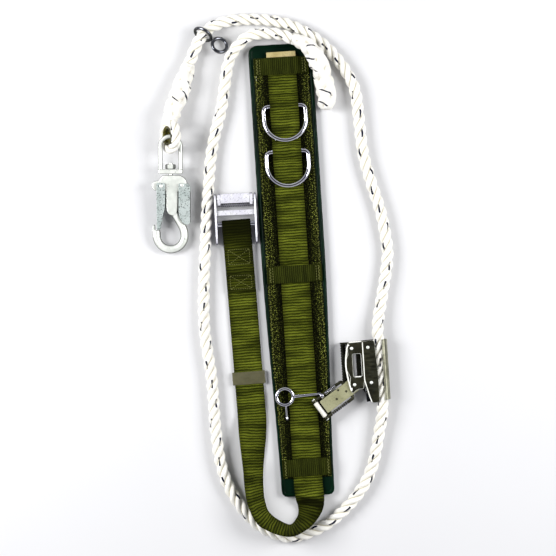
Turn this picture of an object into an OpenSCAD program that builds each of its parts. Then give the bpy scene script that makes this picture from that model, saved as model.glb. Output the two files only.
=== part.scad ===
// Work-positioning belt with a rope lanyard, laid out flat.
// +Y runs along the pad towards its upper end, +X to its right, +Z away from the surface it lies on.
// The origin is the centre of the pad's back face. All sizes are in millimetres.

/* [Pad] */
// Length of the back pad
pad_length = 677; // [600:1:760]
// Half width of the pad over its upper half
pad_half_width = 48; // [44:0.5:56]
// Half width of the pad at its lower end
pad_half_end = 39.5; // [36:0.5:44]
// Thickness of the pad, foam and vinyl together
pad_thickness = 10; // [8:0.5:16]
// Width of the bound edge
binding_width = 6; // [4:0.5:8]
// Thickness of the vinyl panels
vinyl = 1.2; // [0.8:0.1:2]

/* [Webbing] */
// Width of the belt strap
strap_width = 43; // [40:0.5:46]
// Thickness of the belt strap
strap_thick = 2.2; // [1.8:0.1:2.6]
// Half width of the wide webbing that faces the pad
facing_half = 41; // [38:0.5:42]
// Thickness of the wide webbing
facing_thick = 2; // [1.5:0.1:2.4]
// Height along the belt of each cross keeper
keeper_height = 26; // [20:1:30]

/* [Belt metal] */
// Bar diameter of the D-rings
d_bar = 6.5; // [5:0.1:7.5]
// Width of a D-ring between the centres of its arms
d_width = 62; // [58:0.5:66]
// Length of a D-ring from its straight bar to the middle of its bow
d_length = 51.5; // [48:0.5:56]
// Place of the upper D-ring's bar along the pad
d_upper_y = 245; // [240:1:250]
// Place of the lower D-ring's bar along the pad
d_lower_y = 177; // [172:1:182]
// Distance between the outer faces of the buckle's side plates
buckle_width = 62; // [60:0.5:63]
// Diameter of the buckle bar that the strap is sewn round
strap_bar = 7; // [6:0.1:8]
// Diameter of the pin that the buckle's cam turns on
cam_pin = 6; // [5:0.1:7]

/* [Rope] */
// Diameter of the three-strand rope
rope_dia = 18; // [16:0.5:18]
// Diameter of the rope where it is drawn tight round the thimble
eye_rope = 15; // [13:0.5:16]
// Diameter of the spliced part of the rope
splice_dia = 28; // [24:0.5:30]

/* [Lanyard metal] */
// Thickness of the forged hook
hook_thick = 13; // [11:0.5:14]
// Thickness of the grab's pressed plates
grab_plate = 2.5; // [2:0.1:3]
// Diameter of the bars of the link
link_bar = 5; // [4:0.1:6]

/* [Hidden] */
$fn = 48;

olive = "#4a4d16";
vinyl_green = "#12352a";
khaki = "#8f8b6a";
steel = "#c8ccd0";
dark_steel = "#4a4a42";
rope_white = "#ebe8dc";

// Heights above the surface
face_z = pad_thickness;
strap_z = face_z + facing_thick;
half_length = pad_length / 2;

// Points of an arc about c, from angle a to angle b
function arc(c, r, a, b, n = 8) = [for (i = [0:n]) c + r * [cos(a + (b - a) * i / n), sin(a + (b - a) * i / n)]];
// Smooth step from 0 to 1 while t goes from 0 to 1
function ease(t) = let (u = min(1, max(0, t))) u * u * (3 - 2 * u);
function unit(v) = v / norm(v);

// ---------- soft tubes and straps ----------

// A point of a Catmull-Rom curve through the route, t counted in route points
function spot(route, t) =
    let (
        last = len(route) - 1,
        i = min(floor(t), last - 1),
        f = t - i,
        a = route[max(0, i - 1)],
        b = route[i],
        c = route[i + 1],
        d = route[min(last, i + 2)]
    )
    0.5 * (2 * b + (c - a) * f + (2 * a - 5 * b + 4 * c - d) * f * f + (3 * b - 3 * c + d - a) * f * f * f);

// Faces of a tube of rings with the given number of sides, both ends closed
function tube_faces(rings, sides) = concat(
    [[for (j = [0:sides - 1]) j]],
    [for (i = [0:rings - 2], j = [0:sides - 1])
        [i * sides + j, (i + 1) * sides + j, (i + 1) * sides + (j + 1) % sides, i * sides + (j + 1) % sides]],
    [[for (j = [sides - 1:-1:0]) (rings - 1) * sides + j]]
);

// A round tube swept along a route; each route point may carry its own radius as a fourth number
module rope_tube(route, radius, sides, steps) {
    last = len(route) - 1;
    count = last * steps;
    points = [
        for (k = [0:count])
            let (
                t = k / steps,
                p = spot(route, t),
                q = spot(route, min(last, t + 0.02)) - spot(route, max(0, t - 0.02)),
                along = unit([q[0], q[1], q[2]]),
                side = unit(cross([0, 0, 1], along)),
                up = cross(along, side),
                r = is_undef(p[3]) ? radius : p[3]
            )
            for (j = [0:sides - 1])
                [p[0], p[1], p[2]] + r * (cos(360 * j / sides) * side + sin(360 * j / sides) * up)
    ];
    polyhedron(points, tube_faces(count + 1, sides), convexity = 10);
}

// A flat strap swept through stations of [x, y, z, heading of its outer edge, lift of that edge]
module strap_sweep(route, width, thick, steps) {
    last = len(route) - 1;
    count = last * steps;
    points = [
        for (k = [0:count])
            let (
                t = k / steps,
                s = spot(route, t),
                q = spot(route, min(last, t + 0.02)) - spot(route, max(0, t - 0.02)),
                along = unit([q[0], q[1], q[2]]),
                wide = [cos(s[3]) * cos(s[4]), sin(s[3]) * cos(s[4]), sin(s[4])],
                face = unit(cross(along, wide)),
                across = cross(face, along),
                p = [s[0], s[1], s[2]]
            )
            each [
                p + across * width / 2 + face * thick / 2,
                p - across * width / 2 + face * thick / 2,
                p - across * width / 2 - face * thick / 2,
                p + across * width / 2 - face * thick / 2
            ]
    ];
    polyhedron(points, tube_faces(count + 1, 4), convexity = 10);
}

// ---------- pad ----------

// Half width of the pad at a place along it
function pad_half(y) = pad_half_width - (pad_half_width - pad_half_end) * ease((40 - y) / (half_length + 60));

// Outline of the pad, drawn in by the given distance
function pad_outline(inset) =
    let (
        top = half_length - inset,
        r_top = 14 - inset / 2,
        r_end = 8 - inset / 2,
        w_top = pad_half(top) - inset,
        w_end = pad_half(-top) - inset,
        side = [for (i = [0:18]) let (y = -top + r_end + (2 * top - r_end - r_top) * i / 18) [pad_half(y) - inset, y]]
    )
    concat(
        side,
        arc([w_top - r_top, top - r_top], r_top, 10, 90, 5),
        arc([-w_top + r_top, top - r_top], r_top, 90, 170, 5),
        [for (i = [18:-1:0]) [-side[i][0], side[i][1]]],
        arc([-w_end + r_end, -top + r_end], r_end, 190, 270, 4),
        arc([w_end - r_end, -top + r_end], r_end, 270, 350, 4)
    );

module pad_slab(z, height, inset = 6) {
    translate([0, 0, z])
        linear_extrude(height)
            polygon(pad_outline(inset));
}

module pad_back() {
    color(vinyl_green) pad_slab(0, vinyl, binding_width);
}

module pad_foam() {
    color("#8a8a80") pad_slab(vinyl, pad_thickness - 2 * vinyl, binding_width);
}

module pad_front() {
    color(vinyl_green) pad_slab(pad_thickness - vinyl, vinyl, binding_width);
}

module pad_binding() {
    color("#1d5a48")
        linear_extrude(pad_thickness)
            difference() {
                polygon(pad_outline(0));
                polygon(pad_outline(binding_width));
            }
}

module facing_webbing() {
    top = half_length - 20;
    low = -half_length + 28;
    steps = 12;
    right = [for (i = [0:steps]) let (y = low + (top - low) * i / steps) [min(facing_half, pad_half(y) - 3.5), y]];
    left = [for (i = [steps:-1:0]) [-right[i][0], right[i][1]]];
    color(olive)
        translate([0, 0, face_z])
            linear_extrude(facing_thick)
                polygon(concat(right, left));
}

// A webbing bridge sewn down on both sides of the belt strap
module cross_keeper(y, half, shift) {
    thick = 1.8;
    gap = strap_thick + strap_gap + 0.1;
    flat = strap_width / 2 + 2;
    ramp = 6;
    under = [[half, 0], [flat + ramp, 0], [flat, gap], [-flat, gap], [-flat - ramp, 0], [-half, 0]];
    over = [[-half, thick], [-flat - ramp, thick], [-flat, gap + thick], [flat, gap + thick],
        [flat + ramp, thick], [half, thick]];
    color(olive)
        translate([shift, y + keeper_height / 2, strap_z])
            rotate([90, 0, 0])
                linear_extrude(keeper_height)
                    polygon(concat(under, over));
}

module keeper_top() {
    cross_keeper(305, 40.5, 0);
}

module keeper_middle() {
    cross_keeper(-6, 41, 0.5);
}

module keeper_bottom() {
    cross_keeper(-295, 36.5, 0.5);
}

// ---------- belt strap ----------

// Height of the strap's middle on the pad, humped over the two D-ring bars
strap_gap = 0.2;
d_bar_z = strap_z + d_bar / 2 + 0.1;
hump = d_bar_z + d_bar / 2 + 0.8 - strap_z;
function hump_at(y, bar) = ease((18 - abs(y - bar)) / 15) * hump;
function strap_mid(y) = strap_z + strap_gap + strap_thick / 2 + hump_at(y, d_upper_y) + hump_at(y, d_lower_y);

// The straight free run of the strap turns a little from the pad's line
run_turn = 1;
run_x = -80.5;
run_z = 3.1;
bar_z = 11;
bar_y = 74;
function run_at(y, z) = [run_x - y * tan(run_turn), y, z, run_turn - 180, 0];

strap_tip_y = 318;
pad_run = [for (y = [strap_tip_y, 300, 270,
    for (bar = [d_upper_y, d_lower_y]) for (s = [22, 18, 13, 9, 6, 3, 0, -3, -6, -9, -13, -18, -22]) bar + s,
    130, 60, -60, -180, -270, -312]) [0.8, y, strap_mid(y), 0, 0]];
loop_run = [
    [1, -327, 13.3, 0, 0],
    [2, -340, 14.6, 0, 6],
    [2, -352, 15.2, -12, 27],
    [-2, -364, 17.6, -30, 48],
    [-11, -376, 20, -52, 64],
    [-28, -386, 22.3, -88, 75],
    [-49, -380, 21.8, -122, 70],
    [-69, -365, 20.6, -148, 62],
    [-77.5, -344, 19.2, -166, 56],
    [-80, -320, 18.1, -176, 51],
    [-79.5, -290, 16.8, -179, 46],
    [-78.5, -262, 13.3, -179, 33],
    [-77.5, -240, 8.3, -179, 18],
    [-76.8, -222, 4.9, -179, 6]
];
loop_mid = strap_bar / 2 + strap_thick / 2 + 1.2;
bar_run = concat(
    [for (y = [-207, -180, -100, -20]) run_at(y, run_z)],
    [run_at(30, 3.1), run_at(52, 4), run_at(64, 5.2)],
    [for (a = [-75:30:105])
        [run_x - bar_y * tan(run_turn), bar_y + loop_mid * cos(a), bar_z + loop_mid * sin(a), run_turn - 180, 0]],
    [run_at(62, 15.8), run_at(50, 10.6), run_at(36, 7.2), run_at(20, 5.8), run_at(-27, 5.7)]
);

module belt_strap() {
    color(olive) strap_sweep(concat(pad_run, loop_run, bar_run), strap_width, strap_thick, 2);
}

module strap_tip() {
    wide = strap_width + 0.6;
    tall = strap_thick + 1.6;
    color(khaki)
        translate([0.8 - wide / 2, strap_tip_y + 0.05, strap_z + 0.05])
            cube([wide, 8, tall]);
}

// ---------- belt metal ----------

module slide_keeper() {
    wide = strap_width + 3;
    high = 5.9;
    long = 19;
    wall = 1.5;
    color(khaki)
        translate([run_x, 0, 0])
            rotate([0, 0, run_turn])
                translate([0, -157, 0])
                    difference() {
                        translate([-wide / 2 - wall, -long / 2, 0.2])
                            cube([wide + 2 * wall, long, high]);
                        translate([-wide / 2, -long / 2 - 1, 0.2 + wall])
                            cube([wide, long + 2, high - 2 * wall]);
                    }
}

// A quarter, half or other turn of round bar about +Z, from angle a to angle b
module bar_arc(radius, bar, a, b) {
    rotate([0, 0, a])
        rotate_extrude(angle = b - a)
            translate([radius, 0])
                circle(d = bar);
}

// A straight round bar between two points
module bar_line(from, to, bar) {
    run = to - from;
    translate(from)
        rotate([0, acos(run[2] / norm(run)), atan2(run[1], run[0])])
            cylinder(h = norm(run), d = bar);
}

// D-ring with its straight bar along X at the origin and its bow towards -Y
module d_ring() {
    arm = d_width / 2;
    corner = 7;
    bow_y = -(d_length - arm);
    color(steel)
        union() {
            bar_line([-arm + corner, 0, 0], [arm - corner, 0, 0], d_bar);
            for (s = [-1, 1]) {
                translate([s * (arm - corner), -corner, 0])
                    bar_arc(corner, d_bar, s > 0 ? 0 : 90, s > 0 ? 90 : 180);
                bar_line([s * arm, -corner, 0], [s * arm, bow_y, 0], d_bar);
            }
            translate([0, bow_y, 0])
                bar_arc(arm, d_bar, 180, 360);
        }
}

d_tilt = 3.8;

module d_ring_upper() {
    translate([0.8, d_upper_y, d_bar_z])
        rotate([-d_tilt, 0, 0])
            d_ring();
}

module d_ring_lower() {
    translate([0.8, d_lower_y, d_bar_z])
        rotate([-d_tilt, 0, 0])
            d_ring();
}

// The buckle has its strap bar at the origin of its own frame, and opens towards +Y
buckle_turn = -1;
side_thick = 2.8;
cam_y = 36;
cam_z = 13 - bar_z;
flat_y = 16.9;
flat_wide = 7.8;

module buckle_place() {
    translate([run_x - bar_y * tan(run_turn), bar_y, bar_z])
        rotate([0, 0, buckle_turn])
            children();
}

// Side plate seen along X: a rounded bar shape with three holes
module buckle_side(side) {
    inner = buckle_width / 2 - side_thick;
    color(steel)
        buckle_place()
            translate([side > 0 ? inner : -inner - side_thick, 0, 0])
                rotate([90, 0, 90])
                    linear_extrude(side_thick)
                        difference() {
                            polygon(concat(
                                arc([cam_y, cam_z], 10.5, -80, 110, 10),
                                [[23, 11.5], [11, 11]],
                                arc([-22, 1], 8.5, 90, 180, 5),
                                arc([-24, -4.5], 6, 180, 270, 5)
                            ));
                            circle(d = strap_bar);
                            translate([cam_y, cam_z]) circle(d = cam_pin);
                            translate([flat_y - flat_wide / 2, 4.4]) square([flat_wide, 3.2]);
                        }
}

module buckle_side_left() {
    buckle_side(-1);
}

module buckle_side_right() {
    buckle_side(1);
}

module buckle_strap_bar() {
    long = buckle_width + 0.6;
    color(steel)
        buckle_place()
            rotate([0, 90, 0])
                cylinder(h = long, d = strap_bar, center = true);
}

module buckle_flat_bar() {
    long = buckle_width + 0.6;
    color(steel)
        buckle_place()
            translate([-long / 2, flat_y - flat_wide / 2, 4.4])
                cube([long, flat_wide, 3.2]);
}

module buckle_cam_pin() {
    long = buckle_width + 0.6;
    color(steel)
        buckle_place()
            translate([0, cam_y, cam_z])
                rotate([0, 90, 0])
                    cylinder(h = long, d = cam_pin, center = true);
}

// Toothed cam: a drum whose lower edge carries a row of teeth that bite the strap
cam_half = 26;
cam_cheek = 4.2;
module buckle_cam() {
    teeth = 15;
    pitch = 2 * 21 / teeth;
    color(steel)
        buckle_place()
            translate([0, cam_y, cam_z])
                difference() {
                    union() {
                        rotate([0, 90, 0])
                            cylinder(h = 2 * cam_half, d = 13, center = true);
                        for (s = [-1, 1])
                            translate([s * (cam_half - cam_cheek / 2) - cam_cheek / 2, 0, 0])
                                rotate([90, 0, 90])
                                    linear_extrude(cam_cheek)
                                        polygon([[-6, -3], [-10, 4], [-7, 9], [7, 9], [10.5, 4], [6, -4]]);
                        for (i = [0:teeth - 1])
                            translate([-21 + i * pitch, -10, -3])
                                rotate([90, 0, 90])
                                    linear_extrude(pitch * 0.62)
                                        polygon([[0, 0], [5, 1.5], [5, 6], [1.2, 3]]);
                    }
                    rotate([0, 90, 0])
                        cylinder(h = 2 * cam_half + 2, d = cam_pin + 0.1, center = true);
                }
}

// Curved cover plate over the cam
module buckle_cover() {
    color(steel)
        buckle_place()
            translate([-cam_half + cam_cheek + 0.3, cam_y, cam_z - 7])
                rotate([90, 0, 90])
                    linear_extrude(2 * (cam_half - cam_cheek - 0.3))
                        polygon(concat(arc([0, 0], 17, 57, 108, 10), arc([0, 0], 15.2, 108, 57, 10)));
}

// ---------- rope ----------

hook_at = [-174.5, 152.5, 18.5];
hook_turn = -3.7;
hook_tilt = 6.1;

// Places a piece of the hook: +Y of its own frame points to the rope
module hook_place() {
    translate(hook_at)
        rotate([hook_tilt, 0, hook_turn])
            children();
}

rope_route = [
    [-136, 318, 11.5],
    [-125, 341, 13.6],
    [-113, 359, 15],
    [-97, 370.5, 13.2],
    [-69, 378, 9.2],
    [-31, 377, 9],
    [5, 370, 9],
    [37, 355, 9],
    [60, 338, 9],
    [78, 319, 9],
    [96, 292, 9],
    [108, 262, 9],
    [111, 221, 9],
    [114, 168, 9],
    [122, 128, 9],
    [135, 76, 9],
    [141, 24, 9],
    [137, -10, 9],
    [128, -50, 9.2],
    [120, -85, 12],
    [118.5, -105, 13.5],
    [118.5, -158, 13.5],
    [118.5, -214, 13.5],
    [113, -242, 11],
    [98, -300, 9],
    [75, -339, 9],
    [40, -372, 9],
    [6, -390, 9],
    [-33, -397.5, 9],
    [-72, -381, 9],
    [-98, -353, 9],
    [-116, -321, 9],
    [-127, -285, 9],
    [-132, -232, 9],
    [-133, -155, 9],
    [-139, -82, 9],
    [-136, -15, 9],
    [-129, 52, 9],
    [-122.5, 110, 9],
    [-111, 187, 9],
    [-93, 247, 9],
    [-86, 280, 9.4],
    [-75, 322, 12],
    [-53, 347, 16.5],
    [-35, 353.5, 19.3],
    [-4, 352, 20],
    [19, 343.5, 20.6]
];

module rope() {
    color(rope_white) rope_tube(rope_route, rope_dia / 2, 10, 2);
}

// The rope's end, tucked back into itself: thicker, and rounded at the tip
end_route = [
    [19, 343.5, 20.6, 9.2],
    [28.2, 340.1, 20.9, 10],
    [40, 331, 24, 12.6],
    [49.7, 318.5, 26.6, 13.7],
    [56.5, 302, 25, 14],
    [61.5, 283, 19.5, 14],
    [64, 265, 15.2, 14.2],
    [64.5, 250, 14.2, 13.8],
    [64.2, 240, 14.2, 11],
    [64, 234.5, 14.2, 6]
];

module end_splice() {
    color(rope_white) rope_tube(end_route, splice_dia / 2, 12, 2);
}

// The eye lies in a plane that leans about the hook's long axis
eye_y = 58.5;
eye_lean = 60;
thimble_hole = 9.9;
eye_radius = thimble_hole + 2.3 + eye_rope / 2;
splice_route = [
    [-169.4, 232, 26.2, 11.5],
    [-168, 240, 24.6, 13],
    [-164, 250, 21, 13.8],
    [-158.5, 262, 16.6, 14],
    [-151.5, 279, 14.3, 14],
    [-144, 298, 13.4, 12.6],
    [-138.9, 312, 11, 10],
    [-136, 318, 11.5, 9.2]
];

module eye_splice() {
    color(rope_white)
        union() {
            rope_tube(splice_route, splice_dia / 2, 12, 2);
            hook_place()
                translate([0, eye_y, 0])
                    rotate([0, -eye_lean, 0])
                        rotate_extrude($fn = 40)
                            translate([eye_radius, 0])
                                circle(d = eye_rope, $fn = 20);
        }
}

module thimble() {
    color("#4b4a25")
        hook_place()
            translate([0, eye_y, 0])
                rotate([0, -eye_lean, 0])
                    rotate_extrude()
                        difference() {
                            translate([thimble_hole, -6]) square([6, 12]);
                            translate([eye_radius, 0]) circle(d = eye_rope + 0.4);
                        }
}

// ---------- snap hook ----------

bail_half = 15;
bail_bar = 6.5;
bail_top = 57.3;

module swivel_bail() {
    color(steel)
        hook_place()
            difference() {
                union() {
                    translate([0, bail_top - bail_half, 0])
                        bar_arc(bail_half, bail_bar, 0, 180);
                    for (s = [-1, 1])
                        bar_line([s * bail_half, 6, 0], [s * bail_half, bail_top - bail_half, 0], bail_bar);
                    translate([-bail_half - 3.2, 2, -5])
                        cube([2 * bail_half + 6.4, 7, 10]);
                }
                rotate([-90, 0, 0])
                    cylinder(h = 20, d = 7.1);
            }
}

// Swivel stud with its nut, one turned piece fixed to the hook
module swivel_nut() {
    color(steel)
        hook_place()
            union() {
                rotate([-90, 0, 0]) cylinder(h = 12, d = 7);
                translate([0, 9.3, 0]) rotate([-90, 0, 0]) cylinder(h = 7, d = 16, $fn = 6);
            }
}

// Centre line of the hook's bow, from the shank round to the nose
bow_bar = hook_thick - 1;
bow_r = 20.8;
bow_at = [-0.5, -90];

module hook_body() {
    head_z = hook_thick / 2 - 0.9;
    color(steel)
        hook_place()
            union() {
                // head and centre bar
                translate([0, 0, -head_z])
                    linear_extrude(2 * head_z)
                        difference() {
                            polygon([[-12, 0], [15, 0], [22, -5], [25, -12], [22.5, -22], [11.5, -24], [11.5, -52],
                                [22.5, -74], [25.7, -89], [25.5, -91.5], [15, -91.5], [13, -78], [-7, -52], [-7, -24],
                                [-14, -22], [-24, -23], [-28, -19], [-28, -12], [-24, -9], [-17, -8]]);
                            translate([-13.5, -16]) circle(d = 4.1);
                            translate([17.5, -15]) circle(d = 4.1);
                        }
                // bow
                translate([bow_at[0], bow_at[1], 0])
                    bar_arc(bow_r, bow_bar, 180, 360);
                translate([bow_at[0] - bow_r, bow_at[1], 0])
                    rotate([-90, 0, 0])
                        cylinder(h = 6, d = bow_bar);
                translate([bow_at[0] + bow_r, bow_at[1], 0])
                    rotate([-90, 0, 0])
                        cylinder(h = 4, d = bow_bar);
                // nose latch that the gate rests behind
                translate([-26.8, -92.5, -4])
                    cube([3.2, 18.5, 8]);
            }
}

cheek_in = hook_thick / 2 + 0.3;
cheek = 1.8;

// A pressed channel with two cheeks and a closed back along one edge
module channel_piece(outline, back, hole) {
    for (s = [-1, 1])
        translate([0, 0, s > 0 ? cheek_in : -cheek_in - cheek])
            linear_extrude(cheek)
                difference() {
                    polygon(outline);
                    translate(hole) circle(d = 4.1);
                }
    translate([0, 0, -cheek_in - cheek / 2])
        linear_extrude(2 * cheek_in + cheek)
            polygon(back);
}

module hook_gate() {
    color("#9aa39b")
        hook_place()
            channel_piece(
                [[-20.5, -11], [-8, -11], [-8, -49], [-13, -66], [-15.6, -81], [-20.5, -81]],
                [[-20.5, -29], [-18.4, -29], [-18.4, -80], [-20.5, -80]],
                [-13.5, -16]
            );
}

module hook_gate_pin() {
    color(steel)
        hook_place()
            translate([-13.5, -16, 0])
                cylinder(h = 2 * (cheek_in + cheek) + 1.4, d = 4, center = true);
}

module hook_lever() {
    color("#9aa39b")
        hook_place()
            channel_piece(
                [[12.3, -12], [26.5, -12], [29.2, -17], [29.2, -72], [24, -74], [18, -71], [12.3, -60]],
                [[29.2, -25], [27.3, -25], [27.3, -70], [29.2, -70]],
                [17.5, -15]
            );
}

module hook_lever_pin() {
    color(steel)
        hook_place()
            translate([17.5, -15, 0])
                cylinder(h = 2 * (cheek_in + cheek) + 1.4, d = 4, center = true);
}

// ---------- figure-eight ring ----------

ring_bar = 4.4;
ring_at = [-113, 359, 15];
ring_heading = 54;
ring_drop = 8;
ring_lean = 25;

// Two closed loops of bar at right angles: one round the rope, one free beside it
module eight_ring() {
    round_r = 13.2;
    free_r = 11.2;
    neck = 4.8;
    color("#6d7074")
        translate(ring_at)
            rotate([0, 0, ring_heading])
                rotate([ring_drop, 0, 0]) rotate([0, ring_lean, 0])
                    union() {
                        rotate([0, 90, 0])
                            rotate_extrude()
                                translate([round_r, 0])
                                    circle(d = ring_bar);
                        translate([0, -round_r - free_r - neck, 0])
                            rotate_extrude()
                                translate([free_r, 0])
                                    circle(d = ring_bar);
                        translate([0, -round_r - 0.8, 0])
                            rotate([90, 0, 0])
                                cylinder(h = neck - 1.6, d = ring_bar);
                    }
}

// ---------- rope grab ----------

grab_at = [118.5, -158, 13.5];
front_z = 9.8;
rear_z = -13;
channel_r = 10.5;
block_z = front_z - rear_z - grab_plate;

module grab_place() {
    translate(grab_at) children();
}

// Rivet places, two on the frame side and two on the rope side
rivets = [[-41, 36.3], [-16.8, 36.4], [-14.8, -16]];
link_pivot = [-39.8, -17.6];

module grab_shell() {
    color(dark_steel)
        grab_place()
            difference() {
                union() {
                    translate([0, 0, rear_z])
                        linear_extrude(grab_plate)
                            difference() {
                                polygon([[-47, 45], [-5, 47], [0, 47], [0, -43], [-16, -46], [-28, -25], [-36, -25],
                                    [-44, -31], [-49.5, -9], [-51, 18]]);
                                translate([-41, -6]) square([16, 34]);
                            }
                    translate([0, 47, 0])
                        rotate([90, 0, 0])
                            rotate([0, 0, -90])
                                rotate_extrude(angle = 158)
                                    translate([channel_r, 0])
                                        square([grab_plate, 90]);
                    for (y = [-14.5, 42.5])
                        translate([-57, y, rear_z])
                            cube([12, 2.5, 12.4]);
                }
                for (p = concat(rivets, [link_pivot]))
                    translate([p[0], p[1], rear_z - 1])
                        cylinder(h = grab_plate + 2, d = 5);
            }
}

module grab_front() {
    color(dark_steel)
        grab_place()
            translate([0, 0, front_z])
                linear_extrude(grab_plate)
                    difference() {
                        polygon(concat([[-47, 45], [-24.6, 45.6], [-24.6, 30], [-24.6, -12], [-26.5, -24.5],
                            [-35.5, -24.7], [-44, -31], [-47, -20]], arc([-20, 12], 31, 215, 152, 6)));
                        translate([-40.5, -6]) square([12.5, 34]);
                        for (p = [rivets[0], link_pivot])
                            translate(p) circle(d = 5);
                    }
}

module grab_door() {
    color(dark_steel)
        grab_place()
            translate([0, 0, front_z])
                linear_extrude(grab_plate)
                    difference() {
                        polygon([[-24.2, 45.6], [-5.3, 47], [-2, 8], [-1.8, -15], [-3, -43], [-5.3, -46], [-15, -46],
                            [-23, -28], [-24.2, -12]]);
                        for (p = [rivets[1], rivets[2]])
                            translate(p) circle(d = 5);
                    }
}

module grab_spine() {
    long = 54.2;
    ribs = 14;
    pitch = long / ribs;
    color("#26261f")
        grab_place()
            translate([-53, -11.9, -4.8])
                rotate([-90, 0, 0])
                    rotate_extrude()
                        polygon(concat(
                            [[0, 0]],
                            [for (i = [0:ribs - 1]) each [[3.2, i * pitch], [4, (i + 0.3) * pitch], [4, (i + 0.7) * pitch],
                                [3.2, (i + 1) * pitch]]],
                            [[0, long]]
                        ));
}

module grab_rivets() {
    color(steel)
        grab_place()
            for (p = rivets)
                translate([p[0], p[1], rear_z]) {
                    cylinder(h = front_z + grab_plate - rear_z, d = 5);
                    translate([0, 0, front_z + grab_plate - rear_z]) cylinder(h = 1.2, d1 = 7, d2 = 5);
                }
}

module grab_block() {
    color(dark_steel)
        grab_place()
            difference() {
                translate([-46, 30, rear_z + grab_plate]) cube([16, 12, block_z]);
                translate([rivets[0][0], rivets[0][1], rear_z]) cylinder(h = 40, d = 5);
            }
}

// Toothed cam between the plates, with a tail that the thumb pulls back
module grab_cam() {
    color("#6b6b60")
        grab_place()
            translate([rivets[2][0], rivets[2][1], -6])
                linear_extrude(12)
                    difference() {
                        polygon([[-4.5, 12], [1, 14], [3.5, 11], [4.6, 8], [3.8, 5], [5, 2], [4.2, -1], [4.6, -4],
                            [1, -9], [-2, -28], [-8, -29], [-9.5, -12], [-7.5, 0]]);
                        circle(d = 5.1);
                    }
}

// ---------- link and eye rod ----------

link_at = [78.7, -175.6, 18.8];
link_heading = 213;
link_side = 15.3;
link_end = 63;
sleeve_half_z = 4.1;

module link_place() {
    translate(link_at)
        rotate([0, 0, link_heading])
            children();
}

module link_shackle() {
    color(dark_steel)
        link_place()
            difference() {
                union() {
                    for (s = [-1, 1])
                        bar_line([13, s * link_side, 0], [link_end, s * link_side, 0], link_bar);
                    bar_line([13, -link_side, 0], [13, link_side, 0], link_bar);
                    for (s = [-1, 1])
                        translate([13, s * link_side, 0]) sphere(d = link_bar);
                    for (s = [-1, 1])
                        translate([link_end, s * link_side, 0])
                            rotate([90, 0, 0])
                                cylinder(h = 4, d = 8, center = true);
                }
                translate([link_end, 0, 0])
                    rotate([90, 0, 0])
                        cylinder(h = 60, d = 4.1, center = true);
            }
}

// Folded plate that joins the grab's pin to the shackle's cross bar
module link_sleeve() {
    wide = 21;
    color(khaki)
        link_place()
            difference() {
                union() {
                    translate([0, -wide / 2, -sleeve_half_z])
                        cube([57, wide, 2 * sleeve_half_z]);
                    cylinder(h = 2 * sleeve_half_z, d = 14, center = true);
                }
                translate([22, -wide / 2 - 1, -sleeve_half_z + 1.6])
                    cube([40, wide + 2, 2 * sleeve_half_z - 3.2]);
                translate([-9, -wide / 2 - 1, -sleeve_half_z - 1])
                    cube([12, 4, 2 * sleeve_half_z + 2]);
                translate([13, 0, 0])
                    rotate([90, 0, 0])
                        cylinder(h = 60, d = link_bar + 0.1, center = true);
                cylinder(h = 30, d = 5.1, center = true);
            }
}

module link_pin() {
    color(steel)
        grab_place()
            translate([link_pivot[0], link_pivot[1], rear_z]) {
                cylinder(h = front_z + grab_plate - rear_z, d = 5);
                translate([0, 0, front_z + grab_plate - rear_z]) cylinder(h = 1.2, d1 = 7, d2 = 5);
            }
}

// Cross pin with its fixed roller
module link_roller() {
    long = 2 * link_side + 7;
    color("#dedbd0")
        link_place()
            translate([link_end, 0, 0])
                rotate([90, 0, 0]) {
                    cylinder(h = long, d = 4, center = true);
                    cylinder(h = 2 * link_side - 5.6, d = 7.4, center = true);
                }
}

eye_knuckle = 49;
eye_ring_r = 12.2;
eye_ring_wire = 5;
eye_ring_at = [-25.8, -187.6, link_at[2]];

module eye_rod() {
    color(steel)
        difference() {
            union() {
                link_place()
                    translate([eye_knuckle - 2.5, -link_side, 0])
                        rotate([0, 90, 0])
                            cylinder(h = 5, d = 8.4);
                bar_line([26.2, -186.2, link_at[2]], [-13.4, -188, link_at[2]], 4.6);
                translate(eye_ring_at)
                    rotate_extrude()
                        translate([eye_ring_r, 0])
                            circle(d = eye_ring_wire);
            }
            link_place()
                translate([eye_knuckle - 6, -link_side, 0])
                    rotate([0, 90, 0])
                        cylinder(h = 12, d = link_bar + 0.1);
        }
}

module eye_tail() {
    color(steel)
        union() {
            bar_line([-25.2, -202.7, link_at[2]], [-24.4, -220, 17.2], 3);
            translate([-24.4, -220, 17.2]) sphere(d = 4);
        }
}

pad_back();
pad_foam();
pad_front();
pad_binding();
facing_webbing();
keeper_top();
keeper_middle();
keeper_bottom();
belt_strap();
strap_tip();
slide_keeper();
d_ring_upper();
d_ring_lower();
buckle_side_left();
buckle_side_right();
buckle_strap_bar();
buckle_flat_bar();
buckle_cam_pin();
buckle_cam();
buckle_cover();
rope();
eye_splice();
end_splice();
thimble();
swivel_bail();
swivel_nut();
hook_body();
hook_gate();
hook_gate_pin();
hook_lever();
hook_lever_pin();
eight_ring();
grab_shell();
grab_front();
grab_door();
grab_spine();
grab_rivets();
grab_block();
grab_cam();
link_shackle();
link_sleeve();
link_pin();
link_roller();
eye_rod();
eye_tail();
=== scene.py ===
"""Work-positioning belt with its rope lanyard, laid out flat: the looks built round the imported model.

Sizes are worked in millimetres in the row frame and put into the meshes in metres.
"""

import math

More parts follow.
